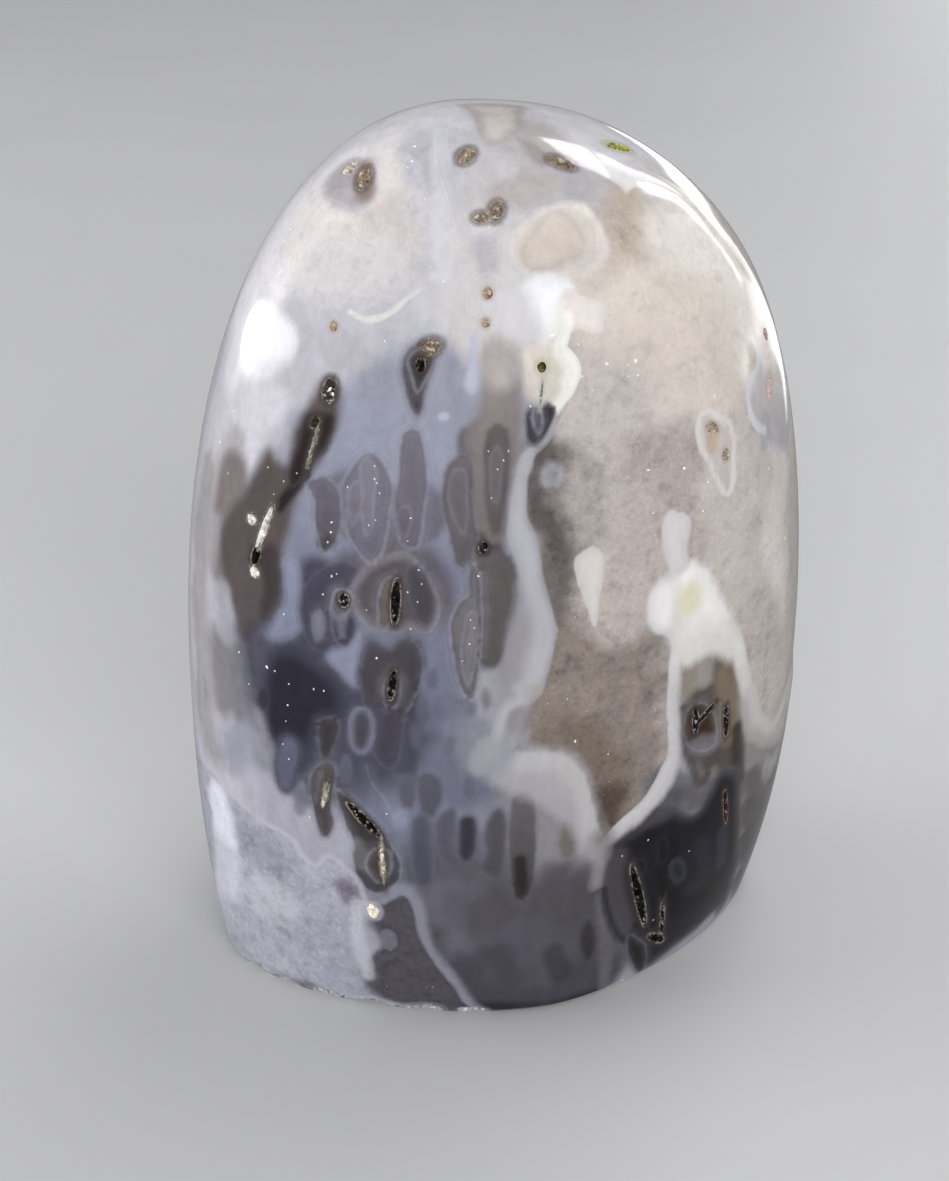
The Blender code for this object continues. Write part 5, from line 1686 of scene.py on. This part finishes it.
def store(mesh, name, values):
    """Keep an array on a mesh's vertices: numbers, or colours with three or four parts."""
    if values.ndim == 1:
        mesh.attributes.new(name, "FLOAT", "POINT").data.foreach_set("value", values.astype(np.float32))
        return
    colours = np.ones((len(values), 4), np.float32)
    colours[:, :values.shape[1]] = values
    mesh.attributes.new(name, "FLOAT_COLOR", "POINT").data.foreach_set("color", colours.ravel())


def paint(mesh, seat, view, settings, seed):
    """Work out the pattern on a mesh and keep it as attributes, which the materials read."""
    count = len(mesh.vertices)
    points, normals = np.empty(count * 3, np.float32), np.empty(count * 3, np.float32)
    mesh.vertices.foreach_get("co", points)
    mesh.vertices.foreach_get("normal", normals)
    places = seat.to_outline(points.reshape(-1, 3).astype(float))
    noise.seed_set(seed)
    canvas = Canvas(places, normals.reshape(-1, 3).astype(float), view, settings.wander / MM)
    tone, lines = paint_pattern(canvas, side_drops(seed) + list(PATTERN))
    milk, milk_tone = paint_milk(canvas)
    stain, stain_tone, wall = paint_stains(canvas)
    for name, values in (
        ("tone", tone), ("quartz", paint_quartz(canvas)), ("milk", milk), ("milk_tone", milk_tone),
        ("line_near", lines.near), ("line_sided", lines.sided), ("line_brightness", lines.brightness),
        ("stain", stain), ("stain_tone", stain_tone), ("wall_tone", wall),
    ):
        store(mesh, name, values)


# Materials

class Socket:
    """Output of a node, on which sums are written as plain Python."""

    def __init__(self, graph, output):
        self.graph, self.output = graph, output

    def math(self, operation, first, second):
        """Result of one Math node."""
        return self.graph.node("ShaderNodeMath", {"operation": operation}, {0: first, 1: second})

    def __add__(self, other):
        return self.math("ADD", self, other)

    def __radd__(self, other):
        return self.math("ADD", other, self)

    def __sub__(self, other):
        return self.math("SUBTRACT", self, other)

    def __rsub__(self, other):
        return self.math("SUBTRACT", other, self)

    def __mul__(self, other):
        return self.math("MULTIPLY", self, other)

    def __rmul__(self, other):
        return self.math("MULTIPLY", other, self)

    def __abs__(self):
        return self.math("ABSOLUTE", self, 0.0)

    def wave(self, length):
        """Wave from -1 to 1 that repeats over a length."""
        return self.math("SINE", self * (2 * math.pi / length), 0.0)

    def ramp(self, low, high, start, end):
        """Change from start at low to end at high, with no corners."""
        settings = {"interpolation_type": "SMOOTHSTEP"}
        return self.graph.node("ShaderNodeMapRange", settings, {0: self, 1: low, 2: high, 3: start, 4: end})

    def rise(self, low, high):
        """Rise from 0 at low to 1 at high."""
        return self.ramp(low, high, 0.0, 1.0)

    def fall(self, low, high):
        """Fall from 1 at low to 0 at high."""
        return self.ramp(low, high, 1.0, 0.0)

    def line(self, middle, half_width, blur):
        """1 where the value is near middle and 0 elsewhere."""
        return abs(self - middle).fall(half_width, half_width + blur)


class Graph:
    """Node tree of one material."""

    def __init__(self, name):
        self.material = bpy.data.materials.new(name)
        self.material.use_nodes = True
        self.tree = self.material.node_tree
        self.tree.nodes.clear()
        self.place = self.scaled(self.node("ShaderNodeTexCoord", {}, {}, "Object"), 1 / MM)

    def node(self, kind, settings, inputs, output=0):
        """One node's output, after its settings are made and its sockets filled or linked."""
        made = self.tree.nodes.new(kind)
        for name, value in settings.items():
            setattr(made, name, value)
        for key, value in inputs.items():
            if isinstance(value, Socket):
                self.tree.links.new(value.output, made.inputs[key])
            else:
                made.inputs[key].default_value = value
        return Socket(self, made.outputs[output]) if len(made.outputs) else None

    def painted(self, name, output="Fac"):
        """Value or colour that was painted on the mesh."""
        return self.node("ShaderNodeAttribute", {"attribute_name": name}, {}, output)

    def clouds(self, per_mm, detail, place=None):
        """Cloudy noise from 0 to 1."""
        inputs = {"Vector": place or self.place, "Scale": per_mm, "Detail": detail}
        return self.node("ShaderNodeTexNoise", {}, inputs)

    def grains(self, per_mm, output):
        """Crystal grains: the distance from each grain's middle, or its random colour."""
        return self.node("ShaderNodeTexVoronoi", {}, {"Vector": self.place, "Scale": per_mm}, output)

    def lot(self, per_mm):
        """Random number from 0 to 1 for each grain."""
        return self.node("ShaderNodeSeparateColor", {}, {0: self.grains(per_mm, "Color")})

    def blend(self, amount, first, second):
        """Colour between two colours."""
        settings = {"data_type": "RGBA"}
        return self.node("ShaderNodeMix", settings, {0: amount, 6: first, 7: second}, 2)

    def scaled(self, vector, factor):
        """Place or colour times a factor."""
        return self.node("ShaderNodeVectorMath", {"operation": "SCALE"}, {0: vector, 3: factor})

    def bumps(self, height, strength, distance):
        """Normal that follows a height."""
        inputs = {"Height": height, "Strength": strength, "Distance": distance}
        return self.node("ShaderNodeBump", {}, inputs)

    def finish(self, inputs):
        """Close the tree with the one shader that gives the surface."""
        surface = self.node("ShaderNodeBsdfPrincipled", {}, inputs)
        self.node("ShaderNodeOutputMaterial", {}, {"Surface": surface})
        return self.material


def polished_agate(settings):
    """Gloss skin: banded chalcedony with cells, pale lines and milk, and granular quartz."""
    graph = Graph("polished_agate")
    drawn_out = {0: graph.place, 1: (1.0, 1.0, 0.22)}
    hanging = graph.node("ShaderNodeVectorMath", {"operation": "MULTIPLY"}, drawn_out)
    coarse = graph.clouds(0.30, 2) - 0.5
    fine = graph.clouds(1.7, 2) - 0.5
    cloud = graph.clouds(0.11, 5) - 0.5
    haze = graph.clouds(0.75, 5) - 0.5
    dust = graph.clouds(3.0, 3) - 0.5
    streaks = graph.clouds(0.45, 3, hanging) - 0.5
    fibres = graph.clouds(1.3, 3, hanging) - 0.5
    tone = graph.painted("tone", "Color")
    near, brightness = graph.painted("line_near"), graph.painted("line_brightness")
    flow = near + coarse * 0.4
    bands = flow.wave(0.62) * near.fall(0.3, 2.6) * 0.06 + flow.wave(0.27) * near.fall(0.1, 1.3) * 0.04
    marbling = (cloud * 9).wave(1.0) * 0.025 + dust * 0.14
    veined = cloud * 0.22 + haze * 0.14 + streaks * 0.34 + bands * brightness + marbling + 1
    strand = graph.painted("line_sided") + fine * 0.06
    line = strand.line(0.0, 0.05, 0.36) * near.fall(0.3, 0.6) * 0.20 + near.fall(0.0, 1.8) * 0.16
    lining = line * brightness * (haze * 1.6 + 1)
    lined = graph.blend(lining, graph.scaled(tone, veined), (*settings.thread_colour, 1.0))
    quartz = graph.painted("quartz") + coarse * 0.5 + fine * 0.35
    light = graph.node("ShaderNodeSeparateColor", {}, {0: tone}, 1)
    depth = light.fall(0.22, 0.55) * 0.55 + 0.45
    grain = graph.lot(0.55) - 0.5
    small_grain = graph.lot(1.9) - 0.5
    veil = graph.clouds(0.20, 6) - 0.5
    smoke = graph.clouds(0.42, 7).rise(0.50, 0.72)
    flakes = graph.clouds(1.15, 6)
    mottling = grain * 0.08 + small_grain * 0.10 + veil * 0.50 + haze * 0.34 - smoke * 0.24 + dust * 0.32
    mottling = mottling + flakes.rise(0.56, 0.68) * 0.13 - flakes.fall(0.32, 0.44) * 0.16 + 0.06
    grainy = graph.scaled(tone, mottling * depth + 1)
    spark = graph.grains(1.25, "Distance").fall(0.10, 0.16) * graph.lot(1.25).rise(0.90, 0.92)
    sparkling = graph.blend(spark * 0.4, grainy, SPARK_COLOUR)
    stone = graph.blend(quartz.rise(-0.1, 0.14), lined, sparkling)
    milk = graph.painted("milk") + fine * 0.25 + coarse * 0.4 + streaks * 0.5
    curd = milk.rise(0.4, 3.0) * 0.12 + cloud * 0.10 + haze * 0.12 + fibres * 0.14 + dust * 0.08 + 0.93
    milk_tone = graph.scaled(graph.painted("milk_tone", "Color"), curd)
    milky = graph.blend(milk.rise(0.0, 1.0) * graph.painted("milk_tone", "Alpha"), stone, milk_tone)
    stain = graph.painted("stain") + fine * 0.4
    stain_strength = graph.painted("stain_tone", "Alpha")
    stain_tone = graph.painted("stain_tone", "Color")
    stained = graph.blend(stain.fall(0.1, 1.0) * stain_strength, milky, stain_tone)
    patchy = (fine + haze * 0.8).rise(-0.06, 0.12) * stain_strength * 0.45
    creamed = graph.blend(stain.line(0.12, 0.03, 0.12) * patchy, stained, CREAM_COLOUR)
    return graph.finish({
        "Base Color": creamed,
        "Roughness": haze * 0.03 + quartz.rise(-0.1, 0.1) * 0.03 + settings.gloss_roughness,
        "IOR": QUARTZ_IOR,
        "Specular IOR Level": 0.23,
        "Subsurface Weight": 0.12,
        "Subsurface Radius": (1.0, 1.0, 1.0),
        "Subsurface Scale": 0.0015,
        "Normal": graph.bumps(graph.clouds(0.22, 1), 0.25, 0.00006),
    })


def druse_crystals(grain):
    """Crystal crust on the walls of the pits and chips."""
    graph = Graph("druse_crystals")
    per_mm = MM / grain
    wall = graph.painted("wall_tone", "Color")
    facets = graph.grains(per_mm, "Distance")
    shade = graph.lot(per_mm) * 0.7 + graph.clouds(1.1, 3) * 0.5 + 0.42
    glint = graph.lot(per_mm * 1.6).rise(0.86, 0.9) * 0.6
    colour = graph.blend(glint, graph.scaled(wall, shade), GLINT_COLOUR)
    return graph.finish({
        "Base Color": colour,
        "Roughness": graph.lot(per_mm) * 0.3 + 0.16,
        "IOR": QUARTZ_IOR,
        "Normal": graph.bumps(facets, 0.8, grain * 0.5),
    })


def sawn_base():
    """Flat sawn underside with the faint arcs of the saw."""
    graph = Graph("sawn_base")
    arcs = graph.node(
        "ShaderNodeTexWave", {"wave_type": "RINGS"},
        {"Vector": graph.place, "Scale": 0.35, "Distortion": 2.5, "Detail": 2.0}, "Fac",
    )
    scuffs = graph.clouds(2.5, 4)
    tone = graph.scaled(graph.painted("tone", "Color"), arcs * 0.08 + scuffs * 0.2 + 0.72)
    return graph.finish({
        "Base Color": tone,
        "Roughness": scuffs * 0.2 + 0.42,
        "IOR": QUARTZ_IOR,
        "Normal": graph.bumps(arcs + scuffs * 0.6, 0.25, 0.0001),
    })


def pale_floor(colour):
    """Matt floor with a barely seen mottle."""
    graph = Graph("pale_floor")
    mottle = graph.clouds(0.02, 3)
    return graph.finish({
        "Base Color": graph.scaled(tuple(colour), mottle * 0.06 + 0.97),
        "Roughness": mottle * 0.1 + 0.6,
    })


# Stage

def reflected_place(view, seat, pixel, distance):
    """Place in metres from which the skin at a pixel mirrors a light to the camera, and the skin's own."""
    turn, latitude = view.places([pixel])
    point = skin_points(turn, latitude)[0]
    outward = skin_normals(turn, latitude)[0]
    sight = unit(point - view.place)
    bounced = sight - 2 * (sight @ outward) * outward
    return seat.to_scene(point + bounced * distance), seat.to_scene(point)


def laid(right, up, back, middle):
    """Matrix that lays an object's axes along three directions at a place."""
    matrix = Matrix((right, up, back)).transposed().to_4x4()
    matrix.translation = Vector(middle)
    return matrix


def add_lamp(name, shape, sizes, power, matrix):
    """Area light of a shape, with its sizes in metres."""
    data = bpy.data.lights.new(name, "AREA")
    data.shape, data.energy = shape, power
    data.size, data.size_y = sizes
    lamp = bpy.data.objects.new(name, data)
    lamp.matrix_world = matrix
    bpy.context.scene.collection.objects.link(lamp)
    return lamp


def add_area_light(name, place, sizes, power, mirrored):
    """Rectangular light that points at the stone, seen in its gloss or not."""
    back = Vector(place) - Vector(LIT_PLACE)
    turned = back.to_track_quat("Z", "Y").to_matrix().to_4x4()
    lamp = add_lamp(name, "RECTANGLE", sizes, power, Matrix.Translation(place) @ turned)
    lamp.visible_glossy = mirrored


def add_glare_light(name, view, seat, pixel, radius):
    """Oval light that the skin mirrors to the camera as a disc round a pixel, with its radius in pixels."""
    x, y = pixel
    (middle, spot), (aside, _), (below, _) = (
        reflected_place(view, seat, place, GLARE_DISTANCE)
        for place in (pixel, (x + radius, y), (x, y + radius))
    )
    axes, sizes, _ = np.linalg.svd(np.stack([aside - middle, below - middle], axis=1), full_matrices=False)
    right, up = axes.T
    if np.cross(right, up) @ (middle - spot) < 0:
        up = -up
    matrix = laid(right, up, np.cross(right, up), middle)
    add_lamp(name, "ELLIPSE", (2 * sizes[0], 2 * sizes[1]), GLARE_POWER * radius**2, matrix)


def add_strip_light(name, start, end, width, power):
    """Rectangular light from one place to another that faces the stone."""
    side = (end - start).normalized()
    middle = (start + end) / 2
    up = middle.normalized().cross(side).normalized()
    matrix = laid(side, up, side.cross(up), middle)
    lamp = add_lamp(name, "RECTANGLE", ((end - start).length, width), power, matrix)
    lamp.visible_diffuse = False


def add_camera(view, seat):
    """Camera where the photograph was taken from."""
    data = bpy.data.cameras.new("photo_camera")
    data.sensor_width = SENSOR
    data.lens = PHOTO_FOCAL / max(PHOTO_SIZE) * SENSOR
    data.clip_start, data.clip_end = CAMERA_RANGE
    camera = bpy.data.objects.new("photo_camera", data)
    camera.matrix_world = laid(view.right, view.up, -view.forward, seat.to_scene(view.place))
    bpy.context.scene.collection.objects.link(camera)
    bpy.context.scene.camera = camera


def add_lights(view, seat):
    """Lights that the gloss mirrors as in the photograph, and those of the room."""
    for index, (pixel, radius) in enumerate(WINDOW_GLARE):
        add_glare_light(f"window_light_{index}", view, seat, pixel, radius)
    for number, (line, widths, power) in enumerate(STREAKS):
        streak = [Vector(reflected_place(view, seat, pixel, STREAK_DISTANCE)[0]) for pixel in line]
        for index, width in enumerate(widths):
            name = f"streak_light_{number}_{index}"
            add_strip_light(name, streak[index], streak[index + 1], width, width * power)
    for light in ROOM_LIGHTS:
        add_area_light(*light)


def add_room(strength):
    """Even light from all sides."""
    room = bpy.data.worlds.new("room")
    room.use_nodes = True
    background = room.node_tree.nodes["Background"]
    background.inputs["Color"].default_value = ROOM_COLOUR
    background.inputs["Strength"].default_value = strength
    bpy.context.scene.world = room


# Operators

class AGATE_OT_stone(bpy.types.Operator):
    """Build the polished stone with its pits and its painted pattern"""

    bl_idname = "agate.stone"
    bl_label = "Stone"

    def execute(self, context):
        settings, pits = context.scene.agate_stone, context.scene.agate_pits
        seat = Seat(settings.columns, settings.rows)
        druse = druse_crystals(pits.grain)
        stone = build_blank(seat, [polished_agate(settings), druse, sawn_base()])
        cut_pits(stone, seat, pits.seed, druse)
        paint(stone.data, seat, PhotoView(), settings, pits.seed)
        stone.data.shade_smooth()
        stone.data.set_sharp_from_angle(angle=SHARP_EDGE)
        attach(stone, "root")
        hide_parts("stone")
        return {"FINISHED"}


class AGATE_OT_crystals(bpy.types.Operator):
    """Build the crystals that stand in the pits and the specks in the skin"""

    bl_idname = "agate.crystals"
    bl_label = "Crystals"

    def execute(self, context):
        settings, pits = context.scene.agate_stone, context.scene.agate_pits
        seat = Seat(settings.columns, settings.rows)
        crystals = build_crystals(seat, PhotoView(), pits.grain, pits.seed, druse_crystals(pits.grain))
        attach(crystals, "root")
        return {"FINISHED"}


class AGATE_OT_stage(bpy.types.Operator):
    """Build the floor, the lights and the camera"""

    bl_idname = "agate.stage"
    bl_label = "Studio"

    def execute(self, context):
        settings = context.scene.agate_stage
        view, seat = PhotoView(), Seat(*COARSE_MESH)
        half = settings.floor_size / 2
        corners = [(-half, -half, 0), (half, -half, 0), (half, half, 0), (-half, half, 0)]
        floor = add_mesh_object("floor", corners, [(0, 1, 2, 3)], [pale_floor(settings.floor_colour)])
        floor.visible_glossy = False
        add_camera(view, seat)
        add_lights(view, seat)
        add_room(settings.world_strength)
        context.scene.view_settings.view_transform = "Standard"
        return {"FINISHED"}


class AGATE_PT_panel(bpy.types.Panel):
    """Panel in the sidebar with the steps and their settings"""

    bl_label = "Polished agate"
    bl_idname = "AGATE_PT_panel"
    bl_space_type = "VIEW_3D"
    bl_region_type = "UI"
    bl_category = "Agate"

    def draw(self, context):
        for operator, group in zip(OPERATORS, SETTINGS):
            box = self.layout.box()
            box.operator(operator.bl_idname)
            settings = getattr(context.scene, group)
            for name in settings.__annotations__:
                box.prop(settings, name)


SETTINGS = {"agate_stone": StoneSettings, "agate_pits": PitSettings, "agate_stage": StageSettings}
OPERATORS = (AGATE_OT_stone, AGATE_OT_crystals, AGATE_OT_stage)
CLASSES = (*SETTINGS.values(), *OPERATORS, AGATE_PT_panel)


def register():
    """Make the settings, operators and panel known to Blender."""
    for item in CLASSES:
        bpy.utils.register_class(item)
    for name, group in SETTINGS.items():
        setattr(bpy.types.Scene, name, PointerProperty(type=group))


def unregister():
    """Take them away again."""
    for name in SETTINGS:
        delattr(bpy.types.Scene, name)
    for item in reversed(CLASSES):
        bpy.utils.unregister_class(item)


def main():
    """Build everything in order."""
    register()
    bpy.ops.agate.stone()
    bpy.ops.agate.crystals()
    bpy.ops.agate.stage()


if __name__ == "__main__":
    main()
